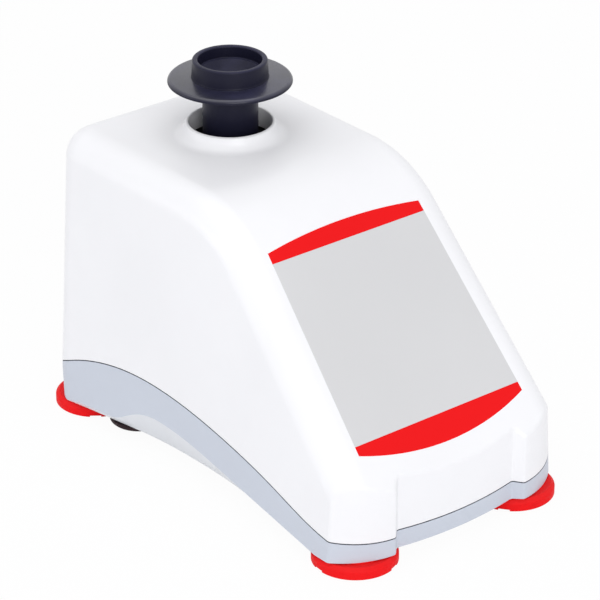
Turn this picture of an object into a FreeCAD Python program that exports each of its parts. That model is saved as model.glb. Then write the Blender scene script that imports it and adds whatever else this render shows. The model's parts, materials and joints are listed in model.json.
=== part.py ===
"""Touch-operated vortex mixer, in millimetres.

The origin is on the bench, under the middle of the mixer. +Z is up, the sloped front faces -Y and the
head stands towards the rear, at +Y.
"""
import FreeCAD, Part
import math
import operator
import os

import Sketcher
from FreeCAD import Placement, Rotation, Vector

doc = FreeCAD.newDocument("vortex_mixer")
sheet = doc.addObject("Spreadsheet::Sheet", "dims")

# Driving dimensions: name, size and what it measures.
DIMENSIONS = (
    ("foot_radius", 18.0, "rubber foot, at its rim"),
    ("foot_height", 5.8, "bench to the underside of the base"),
    ("foot_x", 43.4, "foot centre from the middle plane"),
    ("foot_y", 88.8, "foot centre, front and rear"),
    ("foot_rim", 3.6, "top of the foot's upright rim"),
    ("foot_shoulder", 5.1, "top of the foot's shoulder"),
    ("foot_shoulder_radius", 16.4, "inner end of the foot's shoulder"),
    ("foot_neck", 13.4, "foot under the base"),
    ("foot_edge", 0.25, "lower edge of the foot taken off"),
    ("foot_round", 1.2, "rounding at the top of the rim"),
    ("foot_notches", 3, "notches round the foot's lower edge"),
    ("foot_notch_width", 5.0, "notch, along the edge"),
    ("foot_notch_depth", 1.5, "notch, towards the middle"),
    ("foot_notch_height", 0.9, "notch, upright"),
    ("half_width", 61.0, "middle plane to the side, at the base"),
    ("side_draft", 3.4, "lean of the sides, degrees"),
    ("rear_y", 101.0, "rear wall"),
    ("rear_corner", 15.6, "rear corner radius in plan"),
    ("rear_tuck", 1.9, "rear wall drawn in at the underside"),
    ("tuck_top", 19.0, "where the rear wall starts to draw in"),
    ("crease_y", 92.3, "where a side meets its front column"),
    ("column_x", 49.2, "a point on the column's front, across"),
    ("column_y", 101.2, "a point on the column's front, forward"),
    ("column_inner_x", 35.3, "inner corner of a column, across"),
    ("column_inner_y", 104.8, "inner corner of a column, forward"),
    ("recess_x", 31.6, "end of the recessed front wall"),
    ("recess_y", 101.0, "recessed front wall beside a column"),
    ("recess_mid_y", 104.0, "recessed front wall in the middle"),
    ("column_round", 2.0, "upright edges of the columns"),
    ("top_z", 131.0, "flat top of the housing"),
    ("slope_angle", 46.33, "front slope from level, degrees"),
    ("slope_y", 29.45, "top end of the label, forward"),
    ("slope_z", 114.59, "top end of the label, height"),
    ("shoulder_radius", 55.0, "curve from the top into the slope"),
    ("edge_round", 13.0, "long edges of the housing"),
    ("front_round", 3.0, "lower end of the slope"),
    ("wall", 2.6, "moulded wall"),
    ("floor_top", 9.2, "inside floor of the base"),
    ("parting_gap", 0.5, "line between housing and base"),
    ("lip_height", 3.0, "base lip inside the housing"),
    ("lip_inset", 1.5, "outside of the lip from the outer face"),
    ("grip_middle_x", 49.0, "inner edge of a finger grip, half way along"),
    ("grip_end_x", 60.6, "inner edge of a finger grip, at its ends"),
    ("grip_below", 1.5, "inner edge of a finger grip below the underside"),
    ("grip_wall", 1.95, "wall over a finger grip"),
    ("axis_y", 45.9, "motor axis behind the middle"),
    ("throw", 2.0, "eccentric offset, half of the orbit"),
    ("throw_angle", 50.6, "direction of the eccentric at rest, degrees"),
    ("opening_radius", 17.9, "round opening for the head"),
    ("collar_top", 137.1, "rim of the opening"),
    ("collar_crest", 19.3, "outer edge of the rim"),
    ("collar_foot", 20.4, "root of the raised collar"),
    ("collar_blend", 5.6, "hollow round the root of the collar"),
    ("collar_round", 1.3, "rounding of the rim's outer edge"),
    ("collar_reach", 36.0, "flat ring that carries the collar"),
    ("label_half_top", 40.5, "label, half width at the top"),
    ("label_half_bottom", 44.4, "label, half width at the bottom"),
    ("label_panel_start", 4.84, "top band, depth at its ends"),
    ("label_panel_end", 86.65, "grey panel's lower edge"),
    ("label_end", 90.55, "bottom band's ends"),
    ("label_top_bulge", 3.2, "top band's arc"),
    ("label_bottom_bulge", 7.9, "bottom band's arc"),
    ("label_depth", 0.45, "recess for the label"),
    ("label_proud", 0.08, "label above the slope"),
    ("cup_top", 164.5, "rim of the cup"),
    ("cup_rim_radius", 16.0, "outside of the cup at its rim"),
    ("cup_radius", 16.35, "outside of the cup at its foot"),
    ("cup_bead", 0.12, "bead round the foot of the cup"),
    ("cup_bore", 13.6, "inside of the rim"),
    ("cup_ledge_z", 159.2, "foot of the straight rim"),
    ("cup_ledge_radius", 12.8, "mouth of the bowl"),
    ("cup_bowl_z", 152.5, "lowest point of the bowl"),
    ("flange_radius", 26.6, "flange of the cup"),
    ("flange_top", 156.3, "flange beside the cup"),
    ("flange_edge_top", 156.1, "flange at its edge, upper side"),
    ("flange_edge_bottom", 154.2, "flange at its edge, under side"),
    ("flange_root", 153.0, "flange at the neck, under side"),
    ("neck_radius", 11.9, "neck of the cup"),
    ("neck_bottom", 127.3, "foot of the neck"),
    ("stem_radius", 7.0, "carrier stem in the neck"),
    ("stem_top", 148.0, "end of the stem"),
    ("splash_radius", 24.0, "disc under the opening"),
    ("splash_thick", 2.5, "disc thickness"),
    ("splash_hub", 10.5, "disc hub radius"),
    ("splash_hub_bottom", 119.5, "foot of the hub"),
    ("carrier_radius", 14.0, "bearing carrier"),
    ("carrier_top", 117.0, "shoulder of the carrier"),
    ("carrier_roof", 113.6, "inside of the carrier"),
    ("bearing_bottom", 104.0, "ball bearing, lower face"),
    ("bearing_width", 7.0, "ball bearing width"),
    ("bearing_bore", 4.0, "inner ring bore, and the pin"),
    ("bearing_inner", 5.6, "inner ring outside"),
    ("bearing_outer", 9.4, "outer ring inside"),
    ("bearing_radius", 11.0, "outer ring outside"),
    ("ball_radius", 1.85, "bearing ball"),
    ("ball_circle", 7.5, "circle of the balls"),
    ("ball_count", 7, "balls in the bearing"),
    ("pin_top", 112.4, "end of the eccentric pin"),
    ("hub_bottom", 95.0, "eccentric hub, lower face"),
    ("hub_top", 103.0, "eccentric hub, upper face"),
    ("hub_radius", 13.0, "eccentric hub"),
    ("weight_radius", 24.0, "counterweight"),
    ("weight_top", 101.0, "counterweight, upper face"),
    ("shaft_radius", 4.0, "motor shaft"),
    ("shaft_bottom", 20.0, "lower end of the shaft"),
    ("shaft_top", 101.5, "upper end of the shaft"),
    ("bush_clearance", 0.05, "shaft and pillar running fit"),
    ("motor_radius", 33.0, "stator and end bells"),
    ("stator_bottom", 42.0, "lamination stack, lower face"),
    ("stator_top", 78.0, "lamination stack, upper face"),
    ("stator_bore", 18.5, "lamination bore"),
    ("air_gap", 0.5, "rotor to stator"),
    ("coil_inner", 21.0, "winding heads, inside"),
    ("coil_outer", 29.0, "winding heads, outside"),
    ("coil_height", 5.5, "winding heads"),
    ("bell_bottom", 32.0, "lower end bell"),
    ("bell_wall", 2.5, "end bell wall"),
    ("bush_radius", 8.0, "shaft bush"),
    ("bush_length", 8.0, "shaft bush"),
    ("fan_radius", 27.0, "cooling fan"),
    ("fan_bottom", 22.0, "cooling fan, lower face"),
    ("fan_blade_height", 5.0, "fan blades"),
    ("fan_plate", 1.6, "fan disc"),
    ("fan_blades", 9, "blades on the fan"),
    ("plate_half", 40.0, "carriage plate, half side"),
    ("plate_bottom", 88.0, "carriage plate, under side"),
    ("plate_thick", 3.0, "carriage plate"),
    ("plate_opening", 16.0, "opening round the shaft"),
    ("pillar_offset", 34.0, "guide pillars from the motor axis"),
    ("pillar_radius", 3.0, "sliding part of a pillar"),
    ("pillar_body", 5.5, "lower part of a pillar"),
    ("pillar_shoulder", 66.0, "spring seat"),
    ("pillar_top", 98.0, "end of a pillar"),
    ("slide_bush_radius", 5.0, "carriage bush"),
    ("slide_bush_over", 1.0, "bush beyond the plate, each side"),
    ("stop_gap", 0.3, "bush to its stop nut"),
    ("nut_height", 4.0, "stop nut"),
    ("nut_radius", 5.6, "stop nut, over its corners"),
    ("spring_radius", 4.4, "return spring, wire centre"),
    ("spring_wire", 0.55, "return spring, wire radius"),
    ("spring_turns", 5, "turns in a return spring"),
    ("spring_room", 0.15, "spring to its seats"),
    ("motor_screw_offset", 18.4, "motor screws from the axis"),
    ("motor_screw_radius", 2.0, "motor screw"),
    ("finger_x", 4.0, "switch finger, nearer side"),
    ("finger_width", 4.0, "switch finger"),
    ("finger_reach", 9.6, "switch finger ahead of the middle"),
    ("finger_thick", 3.0, "switch finger, fore and aft"),
    ("finger_bottom", 80.5, "tip of the switch finger"),
    ("switch_half", 10.0, "touch switch, half length"),
    ("switch_front", 11.0, "touch switch, front face"),
    ("switch_depth", 6.0, "touch switch, fore and aft"),
    ("switch_bottom", 64.0, "touch switch, lower face"),
    ("switch_top", 75.5, "touch switch, upper face"),
    ("lever_pivot_x", 8.0, "lever pivot from the middle"),
    ("lever_pivot_z", 79.0, "lever pivot height"),
    ("lever_pin", 0.8, "lever pin radius"),
    ("lever_eye", 1.8, "lever eye radius"),
    ("lever_tip", 8.5, "end of the lever"),
    ("lever_thick", 0.8, "lever strip"),
    ("lever_margin", 1.3, "lever inside the switch, each side"),
    ("ear_thick", 1.0, "switch ears"),
    ("bracket_thick", 2.0, "switch bracket"),
    ("bracket_foot", 11.0, "bracket foot, fore and aft"),
    ("ballast_half", 40.0, "ballast plate, half width"),
    ("ballast_front", 80.0, "ballast plate, front edge"),
    ("ballast_rear", 18.0, "ballast plate, rear edge"),
    ("ballast_top", 17.0, "ballast plate, upper face"),
    ("board_half", 32.0, "control board, half width"),
    ("board_front", 75.0, "control board, front edge"),
    ("board_rear", 23.0, "control board, rear edge"),
    ("board_bottom", 25.0, "control board, under side"),
    ("board_thick", 1.6, "control board"),
    ("standoff_inset", 5.0, "standoffs from the board's edges"),
    ("standoff_radius", 3.0, "board standoff"),
    ("capacitor_radius", 8.5, "motor capacitor"),
    ("capacitor_length", 34.0, "motor capacitor"),
    ("capacitor_y", 60.0, "motor capacitor, forward"),
    ("terminal_width", 30.0, "terminal block"),
    ("terminal_depth", 10.0, "terminal block"),
    ("terminal_height", 11.0, "terminal block"),
    ("terminal_y", 40.0, "terminal block, front face"),
    ("terminal_ways", 5, "ways in the terminal block"),
    ("inlet_z", 58.0, "centre of the mains inlet"),
    ("inlet_half_width", 13.2, "inlet body, half width"),
    ("inlet_half_height", 19.0, "inlet body, half height"),
    ("inlet_depth", 20.0, "inlet body behind the wall"),
    ("inlet_flange", 2.4, "inlet flange beyond the wall"),
    ("inlet_flange_over", 2.4, "flange beyond the body, each side"),
    ("inlet_room", 0.3, "cut-out round the inlet"),
    ("socket_half_width", 11.3, "socket, half width"),
    ("socket_half_height", 7.6, "socket, half height"),
    ("socket_z", 67.5, "socket centre"),
    ("socket_depth", 16.4, "socket depth"),
    ("socket_corner", 4.0, "upper corners of the socket taken off"),
    ("blade_width", 2.0, "contact blade, across"),
    ("blade_height", 4.0, "contact blade, upright"),
    ("blade_length", 10.5, "contact blade, from the socket's end"),
    ("blade_pitch", 7.0, "contact blades, side to side"),
    ("drawer_z", 46.5, "fuse drawer centre"),
    ("drawer_half_width", 11.0, "fuse drawer, half width"),
    ("drawer_half_height", 5.0, "fuse drawer, half height"),
    ("drawer_length", 17.0, "fuse drawer, fore and aft"),
    ("drawer_room", 0.3, "fuse drawer in its slot"),
    ("fuse_radius", 2.6, "cartridge fuse"),
    ("fuse_length", 20.0, "cartridge fuse"),
    ("fuse_inset", 8.0, "fuse from the drawer's face"),
    ("boss_radius", 4.5, "screw boss in the housing"),
    ("boss_top", 52.0, "upper end of the bosses"),
    ("boss_rib", 3.0, "rib from a boss to the wall"),
    ("boss_rib_height", 8.0, "height of that rib"),
    ("boss_front_x", 46.0, "front bosses, across"),
    ("boss_front_y", 66.0, "front bosses, forward"),
    ("boss_rear_x", 41.0, "rear bosses, across"),
    ("boss_rear_y", 34.0, "rear bosses, towards the rear"),
    ("case_screw_radius", 1.6, "housing screw"),
    ("case_screw_head", 3.4, "housing screw head"),
    ("case_screw_top", 24.0, "end of a housing screw"),
    ("foot_screw_radius", 2.0, "foot screw"),
    ("foot_screw_head", 4.2, "foot screw head"),
    ("foot_screw_sink", 1.2, "foot screw head above the bench"),
    ("foot_boss_radius", 5.5, "foot boss inside the base"),
    ("foot_boss_top", 15.0, "foot boss"),
    ("pad_radius", 13.0, "black pad under the base"),
    ("pad_x", 43.7, "pad centre from the middle plane"),
    ("pad_y", 56.6, "pad centre, towards the rear"),
    ("pad_bottom", 3.4, "pad above the bench"),
)

# Line between housing and base, seen from the side: (y, z).
PARTING_POINTS = (
    (112.0, 10.9), (101.0, 17.8), (77.0, 29.1), (45.0, 36.75), (20.0, 37.7), (-22.0, 32.6),
    (-57.0, 24.2), (-84.0, 16.6), (-97.0, 14.65), (-112.0, 12.4),
)

# Lower edge of a side where the finger grip is cut into it: (y, z).
GRIP_POINTS = (
    (91.0, 5.1), (83.0, 7.2), (71.0, 9.2), (59.0, 10.5), (50.5, 12.3), (43.5, 15.9), (36.5, 19.5),
    (28.0, 22.0), (17.0, 22.6), (-2.0, 20.95), (-28.0, 16.3), (-62.0, 9.95), (-80.0, 6.6), (-87.0, 5.1),
)

# How far each foot is turned on its screw, in degrees.
FOOT_TURNS = {
    "foot_front_left": 173.6, "foot_front_right": 216.6, "foot_rear_left": 232.0, "foot_rear_right": 68.0,
}

SIDES = (-1, 1)
CORNERS = ((-1, -1), (1, -1), (-1, 1), (1, 1))
FAR = 90.0
LEVEL = Rotation()
ALONG_X = Rotation(Vector(0, 1, 0), 90)
ALONG_Y = Rotation(Vector(1, 0, 0), -90)
parts = {}


class Size:
    """A number from the sheet together with the expression that rebuilds it."""

    def __init__(self, number, text):
        self.number = number
        self.text = text

    def join(self, other, sign, work):
        other = as_size(other)
        return Size(work(self.number, other.number), f"({self.text} {sign} {other.text})")

    def __add__(self, other):
        return self.join(other, "+", operator.add)

    def __sub__(self, other):
        return self.join(other, "-", operator.sub)

    def __mul__(self, other):
        return self.join(other, "*", operator.mul)

    def __truediv__(self, other):
        return self.join(other, "/", operator.truediv)

    def __neg__(self):
        return self * -1

    def __float__(self):
        return float(self.number)


def as_size(value):
    """Give a plain number the same form as a size from the sheet."""
    if isinstance(value, Size):
        return value
    return Size(float(value), repr(float(value)))


class Dims:
    """The sheet's cells by name."""

    def __init__(self, rows):
        for row, (name, number, note) in enumerate(rows, start=1):
            sheet.set(f"A{row}", name)
            sheet.set(f"B{row}", str(number))
            sheet.setAlias(f"B{row}", name)
            sheet.set(f"C{row}", note)
            setattr(self, name, Size(float(number), f"dims.{name}"))


d = Dims(DIMENSIONS)
doc.recompute()


def bind(thing, path, size):
    """Tie one property of an object to the sheet."""
    thing.setExpression(path, as_size(size).text)


def place(thing, at, turn=LEVEL):
    """Put an object at a bound position."""
    thing.Placement = Placement(Vector(*(float(as_size(value)) for value in at)), turn)
    for letter, value in zip("xyz", at):
        bind(thing, f"Placement.Base.{letter}", value)
    return thing


def cylinder(name, radius, height, at, turn=LEVEL):
    """A bar along its own axis, standing on the point given."""
    bar = doc.addObject("Part::Cylinder", name)
    bind(bar, "Radius", radius)
    bind(bar, "Height", height)
    return place(bar, at, turn)


def block(name, low, high):
    """A box between two opposite corners."""
    low = [as_size(value) for value in low]
    high = [as_size(value) for value in high]
    box = doc.addObject("Part::Box", name)
    for side, start, end in zip(("Length", "Width", "Height"), low, high):
        bind(box, side, end - start)
    return place(box, low)


def ball(name, radius, at):
    """A sphere."""
    sphere = doc.addObject("Part::Sphere", name)
    bind(sphere, "Radius", radius)
    return place(sphere, at)


def shaped(name, shape):
    """A free form that the plain features can't make."""
    thing = doc.addObject("Part::Feature", name)
    thing.Shape = shape
    return thing


def fuse(name, *things):
    """Join solids into one."""
    joined = doc.addObject("Part::MultiFuse", name)
    joined.Shapes = list(things)
    joined.Refine = True
    return joined


def cut(name, base, *tools):
    """Take one or more tools out of a solid."""
    result = doc.addObject("Part::Cut", name)
    result.Base = base
    result.Tool = tools[0] if len(tools) == 1 else fuse(f"{name}_tools", *tools)
    result.Refine = True
    return result


def common(name, first, second):
    """Keep what two solids share."""
    result = doc.addObject("Part::MultiCommon", name)
    result.Shapes = [first, second]
    return result


def group(name, things):
    """Keep equal pieces as separate solids of one node."""
    bundle = doc.addObject("Part::Compound", name)
    bundle.Links = list(things)
    return bundle


def origin_plane(body, role):
    """One of a body's own planes."""
    return next(plane for plane in body.Origin.OriginFeatures if plane.Role == role)


def pin_point(sketch, line, axis, size):
    """Hold one coordinate of a line's first point."""
    kind, on_axis = (("DistanceX", -2), ("DistanceY", -1))[axis]
    if size.number == 0:
        sketch.addConstraint(Sketcher.Constraint("PointOnObject", line, 1, on_axis))
        return
    index = sketch.addConstraint(Sketcher.Constraint(kind, -1, 1, line, 1, size.number))
    bind(sketch, f"Constraints[{index}]", size)


def polygon(sketch, points):
    """Draw a closed outline whose corners are bound to the sheet."""
    points = [(as_size(across), as_size(up)) for across, up in points]
    corners = [Vector(across.number, up.number, 0) for across, up in points]
    count = len(corners)
    for index in range(count):
        sketch.addGeometry(Part.LineSegment(corners[index], corners[(index + 1) % count]))
    for index in range(count):
        sketch.addConstraint(Sketcher.Constraint("Coincident", index, 2, (index + 1) % count, 1))
    for index, pair in enumerate(points):
        for axis, size in enumerate(pair):
            pin_point(sketch, index, axis, size)


def new_sketch(body, name, role):
    """A sketch on one of a body's own planes."""
    sketch = body.newObject("Sketcher::SketchObject", name)
    sketch.AttachmentSupport = [(origin_plane(body, role), "")]
    sketch.MapMode = "FlatFace"
    return sketch


def lathe(name, profile, at=(0, 0)):
    """A turned piece from (radius, height) corners, about an upright axis."""
    body = doc.addObject("PartDesign::Body", name)
    sketch = new_sketch(body, f"{name}_profile", "XZ_Plane")
    polygon(sketch, profile)
    turn = body.newObject("PartDesign::Revolution", f"{name}_turn")
    turn.Profile = sketch
    turn.ReferenceAxis = (sketch, ["V_Axis"])
    turn.Angle = 360
    body.Tip = turn
    place(body, (at[0], at[1], 0))
    doc.recompute()
    return body


def soften(body, radius, *rings):
    """Round a turned piece's circular edges, each given by its radius and height."""
    base = body.Tip
    wanted = [(float(as_size(across)), float(as_size(up))) for across, up in rings]
    names = []
    for index, edge in enumerate(base.Shape.Edges, start=1):
        if not isinstance(edge.Curve, Part.Circle):
            continue
        found = (edge.Curve.Radius, edge.Curve.Center.z)
        if any(math.dist(found, ring) < 0.01 for ring in wanted):
            names.append(f"Edge{index}")
    fillet = body.newObject("PartDesign::Fillet", f"{body.Name}_round{len(body.Group)}")
    fillet.Base = (base, names)
    fillet.Radius = radius
    body.Tip = fillet
    doc.recompute()
    return body


def around(count, start=0.0):
    """Evenly spaced angles in degrees."""
    return [start + step * 360.0 / count for step in range(count)]


def at_angle(angle, radius, centre):
    """A point at an angle about a centre, bound to the sheet."""
    turn = math.radians(angle)
    radius = as_size(radius)
    return (as_size(centre[0]) + radius * math.cos(turn), as_size(centre[1]) + radius * math.sin(turn))


AXIS = (0, d.axis_y)
CUP = at_angle(float(d.throw_angle), d.throw, AXIS)


def half_width_at(z):
    """Half width of the leaning sides at a height."""
    return float(d.half_width) - (z - float(d.foot_height)) * math.tan(math.radians(float(d.side_draft)))


def rear_at(z):
    """Rear wall at a height: upright, and drawn in towards the underside."""
    drawn = (float(d.tuck_top) - z) / (float(d.tuck_top) - float(d.foot_height))
    return float(d.rear_y) - float(d.rear_tuck) * max(0.0, drawn)


def plan_outline(z, inset=0.0):
    """Outline of the mixer in plan at a height, drawn in by a wall if asked."""
    half = half_width_at(z)
    rear = rear_at(z)
    round_rear = float(d.rear_corner)
    saved = round_rear * (1 - math.sqrt(0.5))
    crease = (half, -float(d.crease_y))
    bulge = (float(d.column_x) - (float(d.half_width) - half) * 0.6, -float(d.column_y))
    inner = (float(d.column_inner_x), -float(d.column_inner_y))
    root = (float(d.recess_x), -float(d.recess_y))
    middle = (0.0, -float(d.recess_mid_y))
    rear_side = (half, rear - round_rear)
    rear_mid = (half - saved, rear - saved)
    rear_back = (half - round_rear, rear)

    def left(point):
        return (-point[0], point[1])

    def spot(point):
        return Vector(point[0], point[1], z)

    def line(start, end):
        return Part.LineSegment(spot(start), spot(end)).toShape()

    def arc(start, via, end):
        return Part.Arc(spot(start), spot(via), spot(end)).toShape()

    wire = Part.Wire([
        line(rear_side, crease),
        arc(crease, bulge, inner),
        line(inner, root),
        arc(root, middle, left(root)),
        line(left(root), left(inner)),
        arc(left(inner), left(bulge), left(crease)),
        line(left(crease), left(rear_side)),
        arc(left(rear_side), left(rear_mid), left(rear_back)),
        line(left(rear_back), rear_back),
        arc(rear_back, rear_mid, rear_side),
    ])
    return wire.makeOffset2D(-inset) if inset else wire


def column_form(bottom, top, inset=0.0):
    """Solid with the plan outline between two heights."""
    heights = (bottom, float(d.tuck_top), top)
    return Part.makeLoft([plan_outline(z, inset) for z in heights], True, True)


def across(face):
    """Sweep a side view right across the mixer."""
    solid = face.extrude(Vector(2 * FAR, 0, 0))
    solid.translate(Vector(-FAR, 0, 0))
    return solid


def side_line(start, end):
    """A straight edge of a side view."""
    return Part.LineSegment(Vector(0, *start), Vector(0, *end)).toShape()


def side_view(inset=0.0):
    """Side view of the top, the shoulder and the front slope, drawn in by a wall if asked."""
    slope = math.radians(float(d.slope_angle))
    top = float(d.top_z) - inset
    radius = float(d.shoulder_radius) - inset
    slope_z = float(d.slope_z) - inset / math.cos(slope)
    knee = -float(d.slope_y) + (top - slope_z) / math.tan(slope)
    tangent = radius * math.tan(slope / 2)
    upper = (knee + tangent, top)
    lower = (knee - tangent * math.cos(slope), top - tangent * math.sin(slope))
    middle = (upper[0] - radius * math.sin(slope / 2), top - radius + radius * math.cos(slope / 2))
    front = -FAR - 30.0
    rear = FAR + 30.0
    toe = (front, slope_z + (front + float(d.slope_y)) * math.tan(slope))
    bend = Part.Arc(Vector(0, *upper), Vector(0, *middle), Vector(0, *lower)).toShape()
    return Part.Face(Part.Wire([
        side_line((rear, -FAR), (rear, top)),
        side_line((rear, top), upper),
        bend,
        side_line(lower, toe),
        side_line(toe, (front, -FAR)),
        side_line((front, -FAR), (rear, -FAR)),
    ]))


def middle_of(edge):
    """The point half way along an edge."""
    return edge.valueAt((edge.FirstParameter + edge.LastParameter) / 2)


def is_long_edge(edge):
    """Edges of the top and the slope along the sides and the rear."""
    point = middle_of(edge)
    upright = edge.BoundBox.ZLength > 100 and edge.BoundBox.YLength < 20
    beside = point.z > 60 and abs(point.x) > 40 and not upright
    behind = point.z > 120 and point.y > 90 and not upright
    return beside or behind


def is_column_edge(edge):
    """Upright edges of the columns beside the recessed front wall."""
    point = middle_of(edge)
    return point.y < -100 and abs(point.x) < 40 and edge.BoundBox.ZLength > 10


def is_toe_edge(edge):
    """Edges where the slope meets the front, which run on into the creases of the sides."""
    point = middle_of(edge)
    return point.y < -90 and 33 < point.z < 46 and edge.BoundBox.ZLength < 20


def rounded(shape, radius, wanted):
    """Round the edges that a test picks out."""
    edges = [edge for edge in shape.Edges if wanted(edge)]
    return shape.makeFillet(radius, edges).Solids[0]


def outer_form():
    """The whole outside of housing and base, with its rounded edges."""
    form = column_form(float(d.foot_height), float(d.collar_top)).common(across(side_view())).Solids[0]
    form = rounded(form, float(d.column_round), is_column_edge)
    form = rounded(form, float(d.edge_round), is_long_edge)
    return rounded(form, float(d.front_round), is_toe_edge)


def inner_form():
    """The space inside the moulded walls."""
    wall = float(d.wall)
    form = column_form(float(d.floor_top), float(d.collar_top), wall)
    form = form.common(across(side_view(wall))).Solids[0]
    return rounded(form, float(d.edge_round) - wall, is_long_edge)


def spline(points, rise=0.0):
    """A smooth side-view curve through (y, z) points."""
    curve = Part.BSplineCurve()
    curve.interpolate([Vector(0, y, z + rise) for y, z in points])
    return curve.toShape()


def under(points, rise=0.0):
    """Side view of everything below a curve."""
    curve = spline(points, rise)
    first = (points[0][0], points[0][1] + rise)
    last = (points[-1][0], points[-1][1] + rise)
    return Part.Face(Part.Wire([
        curve,
        side_line(last, (last[0], -FAR)),
        side_line((last[0], -FAR), (first[0], -FAR)),
        side_line((first[0], -FAR), first),
    ]))


def grip_form(side, grow=0.0):
    """Cut under one side for the fingers, from its arched edge in to a bowed line under the base.

    It is moved into the base if asked, to leave a wall.
    """
    low = float(d.foot_height) - float(d.grip_below)
    middle = float(d.grip_middle_x)
    bow = float(d.grip_end_x) - middle
    reach = GRIP_POINTS[0][0]
    overshoot = 0.2
    away = Vector(side * 20.0, 0, -24.0)
    outer = []
    inner = []
    for y, z in GRIP_POINTS:
        root = Vector(side * (middle + bow * (y / reach) ** 2), y, low)
        edge = Vector(side * half_width_at(z), y, z)
        inner.append(root)
        outer.append(edge + (edge - root) * overshoot)
    steps = [float(index) for index in range(len(GRIP_POINTS))]
    curves = []
    for points in (outer, inner):
        curve = Part.BSplineCurve()
        curve.interpolate(Points=points, Parameters=steps)
        curves.append(curve.toShape())
    face = Part.makeRuledSurface(*curves)
    form = face.extrude(away)
    form.translate(Vector(-side * grow, 0, grow))
    return form


def slope_spot(x, along, lift=0.0):
    """A point on the front slope, measured down from the label's top end."""
    slope = math.radians(float(d.slope_angle))
    down = Vector(0, -math.cos(slope), -math.sin(slope))
    out = Vector(0, -math.sin(slope), math.cos(slope))
    start = Vector(x, -float(d.slope_y), float(d.slope_z))
    return start + down * along + out * lift


def label_half(along):
    """Half width of the label at a place on the slope."""
    top = float(d.label_half_top)
    return top + (float(d.label_half_bottom) - top) * along / float(d.label_end)


def label_form(start, end, start_bulge=0.0, end_bulge=0.0):
    """A piece of the label between two places on the slope, with bowed ends if asked."""
    low = -float(d.label_depth)

    def edge(along, bulge, way):
        half = label_half(along)
        ends = (slope_spot(-way * half, along, low), slope_spot(way * half, along, low))
        if not bulge:
            return Part.LineSegment(*ends).toShape()
        return Part.Arc(ends[0], slope_spot(0, along + bulge, low), ends[1]).toShape()

    def flank(side, first, last):
        points = [slope_spot(side * label_half(along), along, low) for along in (first, last)]
        return Part.LineSegment(*points).toShape()

    face = Part.Face(Part.Wire([
        edge(start, -start_bulge, 1),
        flank(1, start, end),
        edge(end, end_bulge, -1),
        flank(-1, end, start),
    ]))
    thickness = float(d.label_depth) + float(d.label_proud)
    return face.extrude((slope_spot(0, 0, thickness) - slope_spot(0, 0)))


def spring_form(x, y, bottom, top):
    """One open coil standing between two heights."""
    wire = float(d.spring_wire)
    radius = float(d.spring_radius)
    height = top - bottom - 2 * wire
    helix = Part.makeHelix(height / float(d.spring_turns), height, radius)
    section = Part.Wire(Part.makeCircle(wire, Vector(radius, 0, 0), Vector(0, 1, 0)))
    coil = Part.Wire(helix).makePipeShell([section], True, True)
    coil.translate(Vector(x, y, bottom + wire))
    return coil


def make_forms():
    """Free forms shared by the housing and the base."""
    gap = float(d.parting_gap) / 2
    lip = float(d.lip_height)
    return {
        "outside": shaped("outside", outer_form()),
        "housing_room": shaped("housing_room", inner_form()),
        "below_housing": shaped("below_housing", across(under(PARTING_POINTS, gap))),
        "below_base": shaped("below_base", across(under(PARTING_POINTS, -gap))),
        "below_lip": shaped("below_lip", across(under(PARTING_POINTS, lip))),
        "below_rabbet": shaped("below_rabbet", across(under(PARTING_POINTS, lip + gap))),
        "lip_outside": shaped("lip_outside", column_form(float(d.floor_top), 60.0, float(d.lip_inset))),
        "rabbet_outside": shaped("rabbet_outside", column_form(0.0, 60.0, float(d.lip_inset) - 0.2)),
    }


def boss_spots():
    """Places of the housing's screw bosses."""
    front = [(side * d.boss_front_x.number, -d.boss_front_y.number) for side in SIDES]
    rear = [(side * d.boss_rear_x.number, d.boss_rear_y.number) for side in SIDES]
    return front + rear


def make_housing(forms):
    """White upper shell: walls, collar, bosses, label recess and inlet cut-out."""
    shell = cut("housing_walls", forms["outside"], forms["below_housing"], forms["housing_room"])
    rabbet = common("rabbet", forms["rabbet_outside"], forms["below_rabbet"])
    roof = d.top_z - d.wall
    collar = lathe("collar", [
        (d.opening_radius, roof), (d.collar_reach, roof), (d.collar_reach, d.top_z),
        (d.collar_foot, d.top_z), (d.collar_crest, d.collar_top), (d.opening_radius, d.collar_top),
    ], AXIS)
    soften(collar, float(d.collar_blend), (d.collar_foot, d.top_z))
    soften(collar, float(d.collar_round), (d.collar_crest, d.collar_top))
    soften(collar, 0.5, (d.opening_radius, d.collar_top))
    bosses = []
    holes = []
    for number, (x, y) in enumerate(boss_spots()):
        side = math.copysign(1, x)
        bosses.append(cylinder(f"boss{number}", d.boss_radius, d.boss_top - d.floor_top,
                               (x, y, d.floor_top)))
        reach = sorted((x, side * (d.half_width.number - 3.6)))
        low_rib = d.boss_top - d.boss_rib_height
        rib = block(f"boss_rib{number}", (reach[0], as_size(y) - d.boss_rib / 2, low_rib),
                    (reach[1], as_size(y) + d.boss_rib / 2, d.boss_top))
        bosses.append(rib)
        bore = d.case_screw_top - d.floor_top + 2.0
        holes.append(cylinder(f"boss_bore{number}", d.case_screw_radius, bore, (x, y, d.floor_top)))
    opening = cylinder("opening", d.opening_radius, 40.0, (*AXIS, d.top_z - 20.0))
    recess = shaped("label_recess", label_form(0.0, float(d.label_end), float(d.label_top_bulge),
                                               float(d.label_bottom_bulge)))
    room = d.inlet_room
    window = block("inlet_window",
                   (-d.inlet_half_width - room, d.rear_y - 8.0, d.inlet_z - d.inlet_half_height - room),
                   (d.inlet_half_width + room, d.rear_y + 8.0, d.inlet_z + d.inlet_half_height + room))
    bare = cut("housing_bare", shell, rabbet, opening, recess, window)
    full = fuse("housing_full", bare, collar, *bosses)
    parts["upper_housing"] = cut("upper_housing", full, *holes)


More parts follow.
